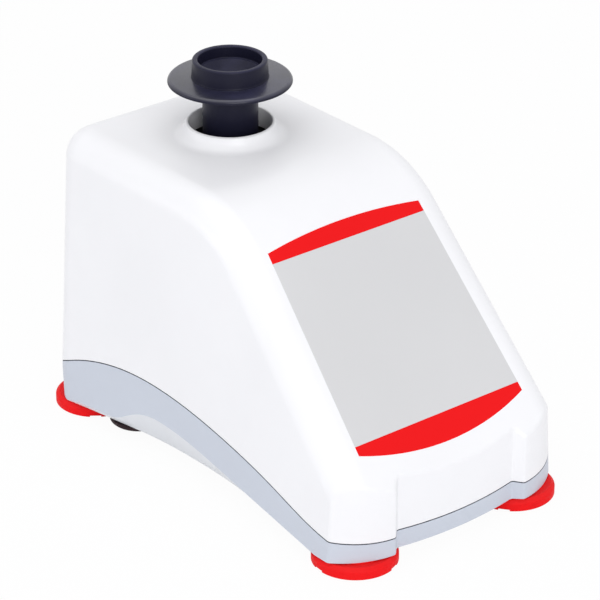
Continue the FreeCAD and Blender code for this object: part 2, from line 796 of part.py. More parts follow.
def make_label():
    """Grey overlay and the red bands above and below it."""
    start = float(d.label_panel_start)
    end = float(d.label_panel_end)
    parts["label_panel"] = shaped("label_panel", label_form(start, end))
    parts["upper_trim"] = shaped("upper_trim", label_form(0.0, start, float(d.label_top_bulge)))
    parts["lower_trim"] = shaped("lower_trim",
                                 label_form(end, float(d.label_end), 0.0, float(d.label_bottom_bulge)))


def foot_spots():
    """Centres of the four feet."""
    return [(x * d.foot_x.number, y * d.foot_y.number) for x, y in CORNERS]


def pillar_spots():
    """Centres of the guide pillars."""
    reach = d.pillar_offset.number
    return [(x * reach, d.axis_y.number + y * reach) for x, y in CORNERS]


def make_base(forms):
    """Grey lower tray: floor, arched sides with finger grips, lip, foot bosses and screw holes."""
    wall = float(d.grip_wall)
    grips = [shaped(f"grip{index}", grip_form(side)) for index, side in enumerate(SIDES)]
    grip_walls = [shaped(f"grip_wall{index}", grip_form(side, wall)) for index, side in enumerate(SIDES)]
    room = cut("base_room", forms["housing_room"], *grip_walls)
    solid = common("base_solid", forms["outside"], forms["below_base"])
    tray = cut("base_tray", solid, room, *grips)
    lip = cut("base_lip", common("lip_solid", forms["lip_outside"], forms["below_lip"]), room, *grips)
    bosses = [cylinder(f"foot_boss{index}", d.foot_boss_radius, d.foot_boss_top - d.foot_height,
                       (x, y, d.foot_height)) for index, (x, y) in enumerate(foot_spots())]
    full = fuse("base_full", tray, lip, *bosses)
    holes = []
    for index, (x, y) in enumerate(foot_spots()):
        holes.append(cylinder(f"foot_hole{index}", d.foot_screw_radius, 7.0, (x, y, d.foot_height)))
    for index, (x, y) in enumerate(boss_spots()):
        holes.append(cylinder(f"case_hole{index}", d.case_screw_radius, 9.0, (x, y, d.foot_height)))
        holes.append(cylinder(f"case_sink{index}", d.case_screw_head, 1.6, (x, y, d.foot_height)))
        holes.append(cylinder(f"case_seat{index}", d.boss_radius + 0.2, 20.0, (x, y, d.floor_top)))
    for index, (x, y) in enumerate(pillar_spots()):
        holes.append(cylinder(f"pillar_hole{index}", d.pillar_radius, 4.0, (x, y, d.foot_height)))
    parts["base_shell"] = cut("base_shell", full, *holes)


def make_foot(name, x, y):
    """Rubber foot: an upright rim with notches in its lower edge, a sloping shoulder and a screw well."""
    sink = d.foot_screw_sink + 2.2
    well = d.foot_screw_head + 0.6
    body = lathe(name, [
        (d.foot_screw_radius, sink), (well, sink), (well, 0), (d.foot_radius - d.foot_edge, 0),
        (d.foot_radius, d.foot_edge), (d.foot_radius, d.foot_rim), (d.foot_shoulder_radius, d.foot_shoulder),
        (d.foot_neck, d.foot_shoulder), (d.foot_neck, d.foot_height), (d.foot_screw_radius, d.foot_height),
    ], (x, y))
    soften(body, float(d.foot_round), (d.foot_radius, d.foot_rim))
    inner = d.foot_radius - d.foot_notch_depth
    beyond = d.foot_radius + 1.0
    half = d.foot_notch_width / 2
    sketch = new_sketch(body, f"{name}_notch", "XY_Plane")
    polygon(sketch, [(inner, -half), (beyond, -half), (beyond, half), (inner, half)])
    whole = body.Tip.Shape.Volume
    notch = body.newObject("PartDesign::Pocket", f"{name}_cut")
    notch.Profile = sketch
    notch.Type = "Length"
    notch.Reversed = True
    bind(notch, "Length", d.foot_notch_height)
    body.Tip = notch
    ring = body.newObject("PartDesign::PolarPattern", f"{name}_notches")
    ring.Originals = [notch]
    ring.Axis = (sketch, ["N_Axis"])
    ring.Angle = 360
    bind(ring, "Occurrences", d.foot_notches)
    body.Tip = ring
    doc.recompute()
    if not ring.Shape.Volume < notch.Shape.Volume < whole:
        raise ValueError(f"{name}: the notches cut nothing")
    parts[name] = place(body, (x, y, 0), Rotation(Vector(0, 0, 1), FOOT_TURNS[name]))


def make_feet():
    """Four feet, their screws and the black pads."""
    screws = []
    for index, (name, (x, y)) in enumerate(zip(FOOT_TURNS, foot_spots())):
        make_foot(name, x, y)
        low = d.foot_screw_sink
        screws.append(lathe(f"foot_screw{index}", [
            (0, low), (d.foot_screw_head, low), (d.foot_screw_head, low + 2.2),
            (d.foot_screw_radius, low + 2.2), (d.foot_screw_radius, d.foot_height + 6.5),
            (0, d.foot_height + 6.5),
        ], (x, y)))
    parts["foot_screws"] = group("foot_screws", screws)
    pads = []
    for index, side in enumerate(SIDES):
        pad = lathe(f"pad{index}", [
            (0, d.pad_bottom), (d.pad_radius - 1.0, d.pad_bottom), (d.pad_radius, d.pad_bottom + 1.0),
            (d.pad_radius, d.foot_height), (0, d.foot_height),
        ], (d.pad_x * side, d.pad_y))
        pads.append(pad)
    parts["bumper_pads"] = group("bumper_pads", pads)
    cases = []
    for index, (x, y) in enumerate(boss_spots()):
        cases.append(lathe(f"case_screw{index}", [
            (0, d.foot_height + 0.2), (d.case_screw_head - 0.2, d.foot_height + 0.2),
            (d.case_screw_head - 0.2, d.foot_height + 1.6), (d.case_screw_radius, d.foot_height + 1.6),
            (d.case_screw_radius, d.case_screw_top), (0, d.case_screw_top),
        ], (x, y)))
    parts["housing_screws"] = group("housing_screws", cases)


def make_cup():
    """Black rubber cup with a bowl, a wide flange and a hollow neck."""
    bead = d.cup_radius + d.cup_bead
    cup = lathe("rubber_cup", [
        (0, d.stem_top), (d.stem_radius, d.stem_top), (d.stem_radius, d.neck_bottom),
        (d.neck_radius, d.neck_bottom), (d.neck_radius, d.flange_root),
        (d.flange_radius, d.flange_edge_bottom), (d.flange_radius, d.flange_edge_top),
        (bead, d.flange_top), (bead, d.flange_top + d.cup_bead * 4),
        (d.cup_radius, d.flange_top + d.cup_bead * 6), (d.cup_rim_radius, d.cup_top),
        (d.cup_bore, d.cup_top), (d.cup_bore, d.cup_ledge_z), (d.cup_ledge_radius, d.cup_ledge_z),
        (d.cup_ledge_radius * 0.62, d.cup_bowl_z + 1.6), (0, d.cup_bowl_z),
    ], CUP)
    soften(cup, 1.6, (d.neck_radius, d.flange_root))
    soften(cup, 0.3, (d.flange_radius, d.flange_edge_bottom))
    soften(cup, 1.5, (d.flange_radius, d.flange_edge_top))
    soften(cup, 0.8, (d.cup_rim_radius, d.cup_top), (d.cup_bore, d.cup_top))
    parts["rubber_cup"] = cup
    parts["splash_disc"] = lathe("splash_disc", [
        (d.stem_radius, d.splash_hub_bottom), (d.splash_hub, d.splash_hub_bottom),
        (d.splash_hub, d.neck_bottom - d.splash_thick), (d.splash_radius, d.neck_bottom - d.splash_thick),
        (d.splash_radius, d.neck_bottom), (d.stem_radius, d.neck_bottom),
    ], CUP)
    parts["cup_carrier"] = lathe("cup_carrier", [
        (0, d.carrier_roof), (d.bearing_radius - 1.2, d.carrier_roof),
        (d.bearing_radius - 1.2, d.bearing_bottom + d.bearing_width),
        (d.bearing_radius, d.bearing_bottom + d.bearing_width), (d.bearing_radius, d.bearing_bottom),
        (d.carrier_radius, d.bearing_bottom), (d.carrier_radius, d.carrier_top),
        (d.stem_radius, d.carrier_top), (d.stem_radius, d.stem_top), (0, d.stem_top),
    ], CUP)


def tube(name, inside, outside, bottom, top, at):
    """A plain turned ring."""
    return lathe(name, [(inside, bottom), (outside, bottom), (outside, top), (inside, top)], at)


def make_bearing():
    """Ball bearing between the eccentric pin and the cup's carrier."""
    low = d.bearing_bottom
    high = d.bearing_bottom + d.bearing_width
    parts["bearing_inner_ring"] = tube("bearing_inner_ring", d.bearing_bore, d.bearing_inner, low, high, CUP)
    parts["bearing_outer_ring"] = tube("bearing_outer_ring", d.bearing_outer, d.bearing_radius,
                                       low, high, CUP)
    height = d.bearing_bottom + d.bearing_width / 2
    balls = [ball(f"ball{index}", d.ball_radius, (*at_angle(angle, d.ball_circle, CUP), height))
             for index, angle in enumerate(around(int(d.ball_count.number)))]
    parts["bearing_balls"] = group("bearing_balls", balls)
    parts["pin_clip"] = tube("pin_clip", d.bearing_bore, d.bearing_bore + 1.3, high, high + 0.8, CUP)


def make_eccentric():
    """Hub on the shaft with its offset pin, counterweight and set screw."""
    height = d.hub_top - d.hub_bottom
    disc = cylinder("hub_disc", d.hub_radius, height, (*AXIS, d.hub_bottom))
    seat = cylinder("pin_seat", d.bearing_inner, d.bearing_bottom - d.hub_top, (*CUP, d.hub_top))
    pin = cylinder("eccentric_pin", d.bearing_bore, d.pin_top - d.hub_top, (*CUP, d.hub_top))
    bore = cylinder("hub_bore", d.shaft_radius, d.shaft_top - d.hub_bottom, (*AXIS, d.hub_bottom))
    middle = (d.hub_bottom + d.weight_top) / 2
    hole = cylinder("set_screw_hole", 1.5, d.hub_radius * 2, (0, d.axis_y, middle), ALONG_X)
    whole = fuse("hub_whole", disc, seat, pin)
    parts["eccentric_hub"] = cut("eccentric_hub", whole, bore, hole)
    parts["hub_set_screw"] = cylinder("hub_set_screw", 1.5, d.hub_radius - d.shaft_radius - 0.5,
                                      (d.shaft_radius, d.axis_y, middle), ALONG_X)
    ring = tube("weight_ring", d.hub_radius, d.weight_radius, d.hub_bottom, d.weight_top, AXIS)
    keep = block("weight_keep", (-FAR, d.axis_y - FAR, d.hub_bottom - 1.0),
                 (FAR, d.axis_y - 3.0, d.weight_top + 1.0))
    parts["counterweight"] = common("counterweight", ring, keep)


def make_rotor():
    """Motor shaft, laminated rotor and cooling fan."""
    parts["motor_shaft"] = cylinder("motor_shaft", d.shaft_radius, d.shaft_top - d.shaft_bottom,
                                    (*AXIS, d.shaft_bottom))
    parts["rotor_core"] = tube("rotor_core", d.shaft_radius, d.stator_bore - d.air_gap,
                               d.stator_bottom + 1.0, d.stator_top - 1.0, AXIS)
    top = d.fan_bottom + d.fan_blade_height
    plate = tube("fan_disc", d.shaft_radius, d.fan_radius, top, top + d.fan_plate, AXIS)
    hub = tube("fan_hub", d.shaft_radius, d.shaft_radius * 2, d.fan_bottom, top + d.fan_plate, AXIS)
    blades = []
    for index, angle in enumerate(around(int(d.fan_blades.number))):
        blade = block(f"fan_blade{index}", (d.shaft_radius * 2 - 0.6, -0.8, d.fan_bottom),
                      (d.fan_radius - 0.5, 0.8, top + 0.5))
        spin = Placement(Vector(0, float(d.axis_y), 0), Rotation(Vector(0, 0, 1), angle))
        turned = doc.addObject("Part::Compound", f"fan_vane{index}")
        turned.Links = [blade]
        turned.Placement = spin
        bind(turned, "Placement.Base.y", d.axis_y)
        blades.append(turned)
    parts["cooling_fan"] = fuse("cooling_fan", plate, hub, *blades)


def make_motor():
    """Stator, windings, end bells and shaft bushes."""
    parts["stator_stack"] = tube("stator_stack", d.stator_bore, d.motor_radius, d.stator_bottom,
                                 d.stator_top, AXIS)
    coil_bottom = d.stator_bottom - d.coil_height
    coil_top = d.stator_top + d.coil_height
    heads = [
        tube("lower_coils", d.coil_inner, d.coil_outer, coil_bottom, d.stator_bottom, AXIS),
        tube("upper_coils", d.coil_inner, d.coil_outer, d.stator_top, coil_top, AXIS),
    ]
    parts["stator_windings"] = group("stator_windings", heads)
    reach = d.motor_radius
    inside = d.motor_radius - d.bell_wall
    low = d.bell_bottom
    high = d.plate_bottom
    hub = d.bush_radius + 3.0
    parts["lower_end_bell"] = lathe("lower_end_bell", [
        (d.bush_radius, low), (reach, low), (reach, d.stator_bottom), (inside, d.stator_bottom),
        (inside, low + d.bell_wall), (hub, low + d.bell_wall), (hub, low + d.bush_length),
        (d.bush_radius, low + d.bush_length),
    ], AXIS)
    upper = lathe("upper_bell_turned", [
        (d.bush_radius, high), (reach, high), (reach, d.stator_top), (inside, d.stator_top),
        (inside, high - d.bell_wall), (hub, high - d.bell_wall), (hub, high - d.bush_length),
        (d.bush_radius, high - d.bush_length),
    ], AXIS)
    offset = d.motor_screw_offset
    threads = [cylinder(f"bell_thread{index}", d.motor_screw_radius, d.bell_wall + 1.0,
                        (offset * x, d.axis_y + offset * y, high - d.bell_wall - 1.0))
               for index, (x, y) in enumerate(CORNERS)]
    parts["upper_end_bell"] = cut("upper_end_bell", upper, *threads)
    running = d.shaft_radius + d.bush_clearance
    parts["lower_bush"] = tube("lower_bush", running, d.bush_radius, low, low + d.bush_length, AXIS)
    parts["upper_bush"] = tube("upper_bush", running, d.bush_radius, high - d.bush_length, high, AXIS)


def make_carriage():
    """Sprung plate that carries the motor, with its bushes, screws and switch finger."""
    low = d.plate_bottom
    high = low + d.plate_thick
    half = d.plate_half
    plate = block("plate_blank", (-half, d.axis_y - half, low), (half, d.axis_y + half, high))
    arm = block("finger_arm", (d.finger_x, -d.finger_reach, low),
                (d.finger_x + d.finger_width, d.axis_y - half + 2.0, high))
    tip = block("finger_tip", (d.finger_x, -d.finger_reach, d.finger_bottom),
                (d.finger_x + d.finger_width, d.finger_thick - d.finger_reach, high))
    whole = fuse("plate_whole", plate, arm, tip)
    holes = [cylinder("plate_hole", d.plate_opening, d.plate_thick, (*AXIS, low))]
    bushes = []
    screws = []
    over = d.slide_bush_over
    for index, (x, y) in enumerate(pillar_spots()):
        holes.append(cylinder(f"bush_hole{index}", d.pillar_radius + 1.2, d.plate_thick, (x, y, low)))
        bushes.append(lathe(f"slide_bush{index}", [
            (d.pillar_radius + d.bush_clearance, low - over), (d.slide_bush_radius, low - over),
            (d.slide_bush_radius, low), (d.pillar_radius + 1.2, low), (d.pillar_radius + 1.2, high),
            (d.slide_bush_radius, high), (d.slide_bush_radius, high + over),
            (d.pillar_radius + d.bush_clearance, high + over),
        ], (x, y)))
    offset = d.motor_screw_offset
    for index, (x, y) in enumerate(CORNERS):
        spot = (offset * x, d.axis_y + offset * y)
        holes.append(cylinder(f"screw_hole{index}", d.motor_screw_radius, d.plate_thick, (*spot, low)))
        screws.append(lathe(f"motor_screw{index}", [
            (0, low - d.bell_wall), (d.motor_screw_radius, low - d.bell_wall), (d.motor_screw_radius, high),
            (d.motor_screw_radius * 1.8, high), (d.motor_screw_radius * 1.8, high + 2.4), (0, high + 2.4),
        ], spot))
    parts["carriage_plate"] = cut("carriage_plate", whole, *holes)
    parts["slide_bushes"] = group("slide_bushes", bushes)
    parts["motor_screws"] = group("motor_screws", screws)


def hex_nut(name, x, y, bottom):
    """A six-sided nut on a pillar."""
    prism = doc.addObject("Part::Prism", f"{name}_prism")
    prism.Polygon = 6
    bind(prism, "Circumradius", d.nut_radius)
    bind(prism, "Height", d.nut_height)
    place(prism, (x, y, bottom))
    return cut(name, prism, cylinder(f"{name}_bore", d.pillar_radius, d.nut_height, (x, y, bottom)))


def make_pillars():
    """Guide pillars, their stop nuts and the return springs."""
    pillars = []
    nuts = []
    springs = []
    spring_top = d.plate_bottom - d.slide_bush_over - d.spring_room
    for index, (x, y) in enumerate(pillar_spots()):
        pillars.append(lathe(f"pillar{index}", [
            (0, d.foot_height + 0.4), (d.pillar_radius, d.foot_height + 0.4), (d.pillar_radius, d.floor_top),
            (d.pillar_body, d.floor_top), (d.pillar_body, d.pillar_shoulder),
            (d.pillar_radius, d.pillar_shoulder), (d.pillar_radius, d.pillar_top), (0, d.pillar_top),
        ], (x, y)))
        nut_bottom = d.plate_bottom + d.plate_thick + d.slide_bush_over + d.stop_gap
        nuts.append(hex_nut(f"stop_nut{index}", x, y, nut_bottom))
        coil = spring_form(x, y, float(d.pillar_shoulder + d.spring_room), float(spring_top))
        springs.append(shaped(f"spring{index}", coil))
    parts["guide_pillars"] = group("guide_pillars", pillars)
    parts["stop_nuts"] = group("stop_nuts", nuts)
    parts["return_springs"] = group("return_springs", springs)
    pitch = (float(spring_top - d.pillar_shoulder - d.spring_room) - 2 * float(d.spring_wire))
    pitch = pitch / float(d.spring_turns)
    print("return springs, least gap between turns:", round(pitch - 2 * float(d.spring_wire), 2))


def make_switch():
    """Touch switch on its bracket, with the lever that the carriage finger pushes."""
    half = d.switch_half
    front = -d.switch_front
    rear = front + d.switch_depth
    case = block("switch_case", (-half, front, d.switch_bottom), (half, rear, d.switch_top))
    ears = []
    for index, start in enumerate((front, rear - d.ear_thick)):
        ears.append(block(f"switch_ear{index}",
                          (-d.lever_pivot_x - 1.6, start, d.switch_top - 0.5),
                          (-d.lever_pivot_x + 1.6, start + d.ear_thick, d.lever_pivot_z + 1.6)))
    pin = cylinder("lever_pin", d.lever_pin, d.switch_depth,
                   (-d.lever_pivot_x, front, d.lever_pivot_z), ALONG_Y)
    button = cylinder("switch_button", 1.1, 1.2, (-2.0, front + d.switch_depth / 2, d.switch_top - 0.2))
    parts["switch_body"] = fuse("switch_body", case, *ears, pin, button)
    near = front + d.lever_margin
    width = d.switch_depth - d.lever_margin * 2
    eye = cylinder("lever_eye", d.lever_eye, width, (-d.lever_pivot_x, near, d.lever_pivot_z), ALONG_Y)
    strip = block("lever_strip", (-d.lever_pivot_x, near, d.lever_pivot_z + 0.2),
                  (d.lever_tip, near + width, d.lever_pivot_z + 0.2 + d.lever_thick))
    bore = cylinder("lever_bore", d.lever_pin + d.bush_clearance, width,
                    (-d.lever_pivot_x, near, d.lever_pivot_z), ALONG_Y)
    parts["switch_lever"] = cut("switch_lever", fuse("lever_whole", eye, strip), bore)
    upright = block("bracket_upright", (-half, rear, d.floor_top),
                    (half, rear + d.bracket_thick, d.switch_top))
    foot = block("bracket_foot", (-half, rear, d.floor_top),
                 (half, rear + d.bracket_foot, d.floor_top + d.bracket_thick))
    parts["switch_bracket"] = fuse("switch_bracket", upright, foot)


def make_electronics():
    """Ballast in the front of the base, and the control board above it."""
    parts["ballast_plate"] = block("ballast_plate", (-d.ballast_half, -d.ballast_front, d.floor_top),
                                   (d.ballast_half, -d.ballast_rear, d.ballast_top))
    low = d.board_bottom
    high = low + d.board_thick
    parts["control_board"] = block("control_board", (-d.board_half, -d.board_front, low),
                                   (d.board_half, -d.board_rear, high))
    inset = d.standoff_inset
    spots = [(x, y) for x in (inset - d.board_half, d.board_half - inset)
             for y in (inset - d.board_front, -d.board_rear - inset)]
    parts["board_standoffs"] = group("board_standoffs", [
        cylinder(f"standoff{index}", d.standoff_radius, low - d.ballast_top, (x, y, d.ballast_top))
        for index, (x, y) in enumerate(spots)])
    parts["motor_capacitor"] = cylinder("motor_capacitor", d.capacitor_radius, d.capacitor_length,
                                        (-d.capacitor_length / 2, -d.capacitor_y,
                                         high + d.capacitor_radius + 0.2), ALONG_X)
    width = d.terminal_width
    housing = block("terminal_housing", (-width / 2, -d.terminal_y, high),
                    (width / 2, d.terminal_depth - d.terminal_y, high + d.terminal_height))
    ways = int(d.terminal_ways.number)
    pitch = width / ways
    wells = [cylinder(f"terminal_well{way}", 1.7, 4.0,
                      (pitch * (way + 0.5) - width / 2, d.terminal_depth / 2 - d.terminal_y,
                       high + d.terminal_height - 4.0)) for way in range(ways)]
    parts["terminal_block"] = cut("terminal_block", housing, *wells)


def socket_form(end, face):
    """The inlet's socket, with its two upper corners taken off."""
    half = float(d.socket_half_width)
    low = float(d.socket_z - d.socket_half_height)
    high = float(d.socket_z + d.socket_half_height)
    corner = float(d.socket_corner)
    right = [(half, low), (half, high - corner), (half - corner, high)]
    left = [(-x, z) for x, z in reversed(right)]
    outline = [Vector(x, float(end), z) for x, z in right + left]
    return Part.Face(Part.makePolygon(outline + outline[:1])).extrude(Vector(0, float(face - end), 0))


def make_inlet():
    """Mains inlet in the rear wall with its contact blades, fuse drawer and fuse."""
    wide = d.inlet_half_width
    tall = d.inlet_half_height
    over = d.inlet_flange_over
    face = d.rear_y + d.inlet_flange
    body = block("inlet_body", (-wide, d.rear_y - d.inlet_depth, d.inlet_z - tall),
                 (wide, d.rear_y, d.inlet_z + tall))
    flange = block("inlet_flange", (-wide - over, d.rear_y, d.inlet_z - tall - over),
                   (wide + over, face, d.inlet_z + tall + over))
    socket_end = face - d.socket_depth
    socket = shaped("socket_room", socket_form(socket_end, face))
    room = d.drawer_room
    drawer_low = d.drawer_z - d.drawer_half_height
    drawer_high = d.drawer_z + d.drawer_half_height
    slot = block("drawer_slot",
                 (-d.drawer_half_width - room, face - d.drawer_length - room, drawer_low - room),
                 (d.drawer_half_width + room, face, drawer_high + room))
    parts["power_inlet"] = cut("power_inlet", fuse("inlet_whole", body, flange), socket, slot)
    blades = []
    for index, (step, rise) in enumerate(((-1, -1.2), (0, 1.6), (1, -1.2))):
        middle = d.blade_pitch * step
        low = d.socket_z + rise - d.blade_height / 2
        blades.append(block(f"inlet_blade{index}", (middle - d.blade_width / 2, socket_end, low),
                            (middle + d.blade_width / 2, socket_end + d.blade_length, low + d.blade_height)))
    parts["inlet_pins"] = group("inlet_pins", blades)
    tray = block("drawer_blank", (-d.drawer_half_width, face - d.drawer_length, drawer_low),
                 (d.drawer_half_width, face, drawer_high))
    fuse_y = face - d.fuse_inset
    well = block("fuse_well", (-d.fuse_length / 2 - 0.3, fuse_y - d.fuse_radius, d.drawer_z - d.fuse_radius),
                 (d.fuse_length / 2 + 0.3, fuse_y + d.fuse_radius, drawer_high))
    notch = block("drawer_notch", (-4.0, face - 1.2, drawer_high - 2.4), (4.0, face, drawer_high))
    parts["fuse_drawer"] = cut("fuse_drawer", tray, well, notch)
    parts["fuse"] = cylinder("fuse", d.fuse_radius, d.fuse_length,
                             (-d.fuse_length / 2, fuse_y, d.drawer_z), ALONG_X)


def check_document():
    """Stop if any object failed or any part has no sound shape."""
    doc.recompute()
    for thing in doc.Objects:
        if "Invalid" in thing.State or "Error" in thing.State:
            raise ValueError(f"{thing.Label} failed: {thing.State}")
    for name, thing in parts.items():
        if thing.Shape.isNull() or not thing.Shape.isValid() or not thing.Shape.Solids:
            raise ValueError(f"{name} has no sound shape")


def write_parts():
    """Write each part to its own file."""
    os.makedirs("parts", exist_ok=True)
    for name, thing in parts.items():
        thing.Label = name
        thing.Shape.exportStep(f"parts/{name}.step")


shared = make_forms()
make_housing(shared)
make_label()
make_base(shared)
make_feet()
make_cup()
make_bearing()
make_eccentric()
make_rotor()
make_motor()
make_carriage()
make_pillars()
make_switch()
make_electronics()
make_inlet()
check_document()
write_parts()
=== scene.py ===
"""Looks of a touch-operated vortex mixer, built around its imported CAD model."""
import json
import math

import bmesh
import bpy
from bpy.props import FloatProperty, FloatVectorProperty, IntProperty, PointerProperty
from bpy.types import Operator, Panel, PropertyGroup
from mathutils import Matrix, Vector


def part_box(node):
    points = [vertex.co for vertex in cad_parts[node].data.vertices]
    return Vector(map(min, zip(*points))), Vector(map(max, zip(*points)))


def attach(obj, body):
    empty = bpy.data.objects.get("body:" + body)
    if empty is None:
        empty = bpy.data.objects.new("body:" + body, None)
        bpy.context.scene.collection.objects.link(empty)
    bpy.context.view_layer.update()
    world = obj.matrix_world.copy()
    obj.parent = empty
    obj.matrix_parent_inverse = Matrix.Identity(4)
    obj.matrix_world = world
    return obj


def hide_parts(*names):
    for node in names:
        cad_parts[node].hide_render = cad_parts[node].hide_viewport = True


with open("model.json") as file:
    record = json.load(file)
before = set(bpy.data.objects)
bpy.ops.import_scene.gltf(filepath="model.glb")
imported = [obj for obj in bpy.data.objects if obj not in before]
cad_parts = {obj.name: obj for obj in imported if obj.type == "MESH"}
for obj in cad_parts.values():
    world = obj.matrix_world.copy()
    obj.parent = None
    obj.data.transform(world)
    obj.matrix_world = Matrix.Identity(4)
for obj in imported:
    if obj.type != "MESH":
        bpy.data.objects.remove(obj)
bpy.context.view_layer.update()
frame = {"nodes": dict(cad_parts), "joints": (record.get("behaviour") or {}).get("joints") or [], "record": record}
NODES = frame["nodes"]
RECORD = frame["record"]
SLOT_OF = {part["node"]: part["material_slot"] for part in RECORD["subparts"]}
BODY_OF = {node: body for body, members in RECORD["behaviour"]["bodies"].items() for node in members}
JOINTS = {joint["name"]: joint for joint in frame["joints"]}

bl_info = {
    "name": "Vortex Mixer",
    "version": (1, 0, 0),
    "blender": (4, 5, 0),
    "location": "View3D > Sidebar > Mixer",
    "description": "Dresses a vortex mixer's solids with their finishes and sets a studio around it",
    "category": "Object",
}

# Edges steeper than this stay hard.
SHARP_ANGLE = math.radians(28.0)

# Points closer than this are one.
WELD = 1e-6

# Half width of the floor, its drop below the feet and the point that the lamps aim at, in metres.
FLOOR_REACH = 4.0
FLOOR_DROP = 0.0002
LAMP_AIM = Vector((0.0, 0.0, 0.07))

# Soft lamps: name, place, size in metres and power in watts.
LAMPS = (
    ("front_softbox", (-0.70, -1.52, 0.72), 0.9, 9.2),
    ("left_softbox", (-1.3, 0.8, 0.05), 0.8, 3.2),
    ("top_softbox", (-0.20, 0.10, 1.7), 2.0, 10.5),
)


class Wire:
    """One socket of a node tree, so that shader maths reads as plain expressions."""

    def __init__(self, finish, socket):
        self.finish = finish
        self.socket = socket

    def maths(self, operation, first, second):
        """Add a maths node."""
        return self.finish.wire("ShaderNodeMath", {"operation": operation}, {0: first, 1: second})

    def __add__(self, other):
        return self.maths("ADD", self, other)

    def __sub__(self, other):
        return self.maths("SUBTRACT", self, other)

    def __mul__(self, other):
        return self.maths("MULTIPLY", self, other)

    def __rsub__(self, other):
        return self.maths("SUBTRACT", other, self)

    __radd__ = __add__
    __rmul__ = __mul__


class Shading:
    """A node tree and short ways to build its nodes."""

    def __init__(self, owner):
        owner.use_nodes = True
        self.tree = owner.node_tree
        self.tree.nodes.clear()

    def node(self, kind, settings=None, inputs=None):
        """Add a node, set it up and fill or link its sockets."""
        made = self.tree.nodes.new(kind)
        for key, value in (settings or {}).items():
            setattr(made, key, value)
        for key, value in (inputs or {}).items():
            if isinstance(value, Wire):
                self.tree.links.new(value.socket, made.inputs[key])
            else:
                made.inputs[key].default_value = value
        return made

    def wire(self, kind, settings=None, inputs=None, output=0):
        """Add a node and return one of its outputs."""
        return Wire(self, self.node(kind, settings, inputs).outputs[output])

    def between(self, value, low, high):
        """Spread a value over 0 to 1 between two limits, smoothly."""
        return self.wire("ShaderNodeMapRange", {"interpolation_type": "SMOOTHSTEP"},
                         {"Value": value, "From Min": low, "From Max": high})

    def shown(self):
        """One for rays that show the background, nought for those that carry light."""
        path = self.node("ShaderNodeLightPath")
        camera, glossy, through = (Wire(self, path.outputs[f"Is {kind} Ray"])
                                   for kind in ("Camera", "Glossy", "Transmission"))
        return self.wire("ShaderNodeMath", {"operation": "MINIMUM"}, {0: camera + glossy + through, 1: 1.0})

    def mixed(self, share, first, second, output):
        """Mix two shaders and send the result to the tree's output."""
        mix = self.node("ShaderNodeMixShader", inputs={0: share})
        self.tree.links.new(first.outputs[0], mix.inputs[1])
        self.tree.links.new(second.outputs[0], mix.inputs[2])
        self.tree.links.new(mix.outputs[0], self.node(output).inputs[0])


class Finish(Shading):
    """A material and short ways to build its look."""

    def __init__(self, name):
        self.material = bpy.data.materials.new(name)
        super().__init__(self.material)
        self.place = self.wire("ShaderNodeTexCoord", output="Object")

    def stretched(self, scale=(1, 1, 1), at=(0, 0, 0)):
        """The piece's own coordinates, moved and stretched."""
        return self.wire("ShaderNodeMapping", {"vector_type": "POINT"},
                         {"Vector": self.place, "Scale": scale, "Location": at})

    def noise(self, scale, detail=3.0, rough=0.5, place=None, distortion=0.0):
        """Cloudy noise from 0 to 1 around a half."""
        return self.wire("ShaderNodeTexNoise", inputs={
            "Vector": place or self.place, "Scale": scale, "Detail": detail, "Roughness": rough,
            "Distortion": distortion})

    def cells(self, scale, place=None, feature="F1"):
        """Distance to scattered cell centres."""
        return self.wire("ShaderNodeTexVoronoi", {"feature": feature},
                         {"Vector": place or self.place, "Scale": scale}, "Distance")

    def blend(self, share, first, second, kind="MIX"):
        """Mix two colours."""
        made = self.node("ShaderNodeMix", {"data_type": "RGBA", "blend_type": kind})
        for key, value in ((0, share), (6, first), (7, second)):
            if isinstance(value, Wire):
                self.tree.links.new(value.socket, made.inputs[key])
            else:
                made.inputs[key].default_value = value
        return Wire(self, made.outputs[2])

    def axis(self, letter):
        """One coordinate of the piece."""
        return self.wire("ShaderNodeSeparateXYZ", inputs={"Vector": self.place}, output=letter)

    def facing_up(self):
        """How far the surface looks upward."""
        normal = self.wire("ShaderNodeNewGeometry", output="Normal")
        return self.wire("ShaderNodeSeparateXYZ", inputs={"Vector": normal}, output="Z")

    def close(self, colour, roughness, height, depth, **constants):
        """Finish the material with one shader and a relief of a given depth in metres."""
        relief = self.wire("ShaderNodeBump", inputs={"Height": height, "Distance": depth, "Strength": 1.0},
                           output="Normal")
        inputs = {"Base Color": colour, "Roughness": roughness, "Normal": relief}
        inputs.update({key.replace("_", " "): value for key, value in constants.items()})
        shader = self.node("ShaderNodeBsdfPrincipled", inputs=inputs)
        out = self.node("ShaderNodeOutputMaterial")
        self.tree.links.new(shader.outputs[0], out.inputs[0])
        return self.material


def opaque(colour, factor=1.0):
    """A property colour as a full socket value, lighter or darker if asked."""
    return (*(min(1.0, channel * factor) for channel in colour), 1.0)


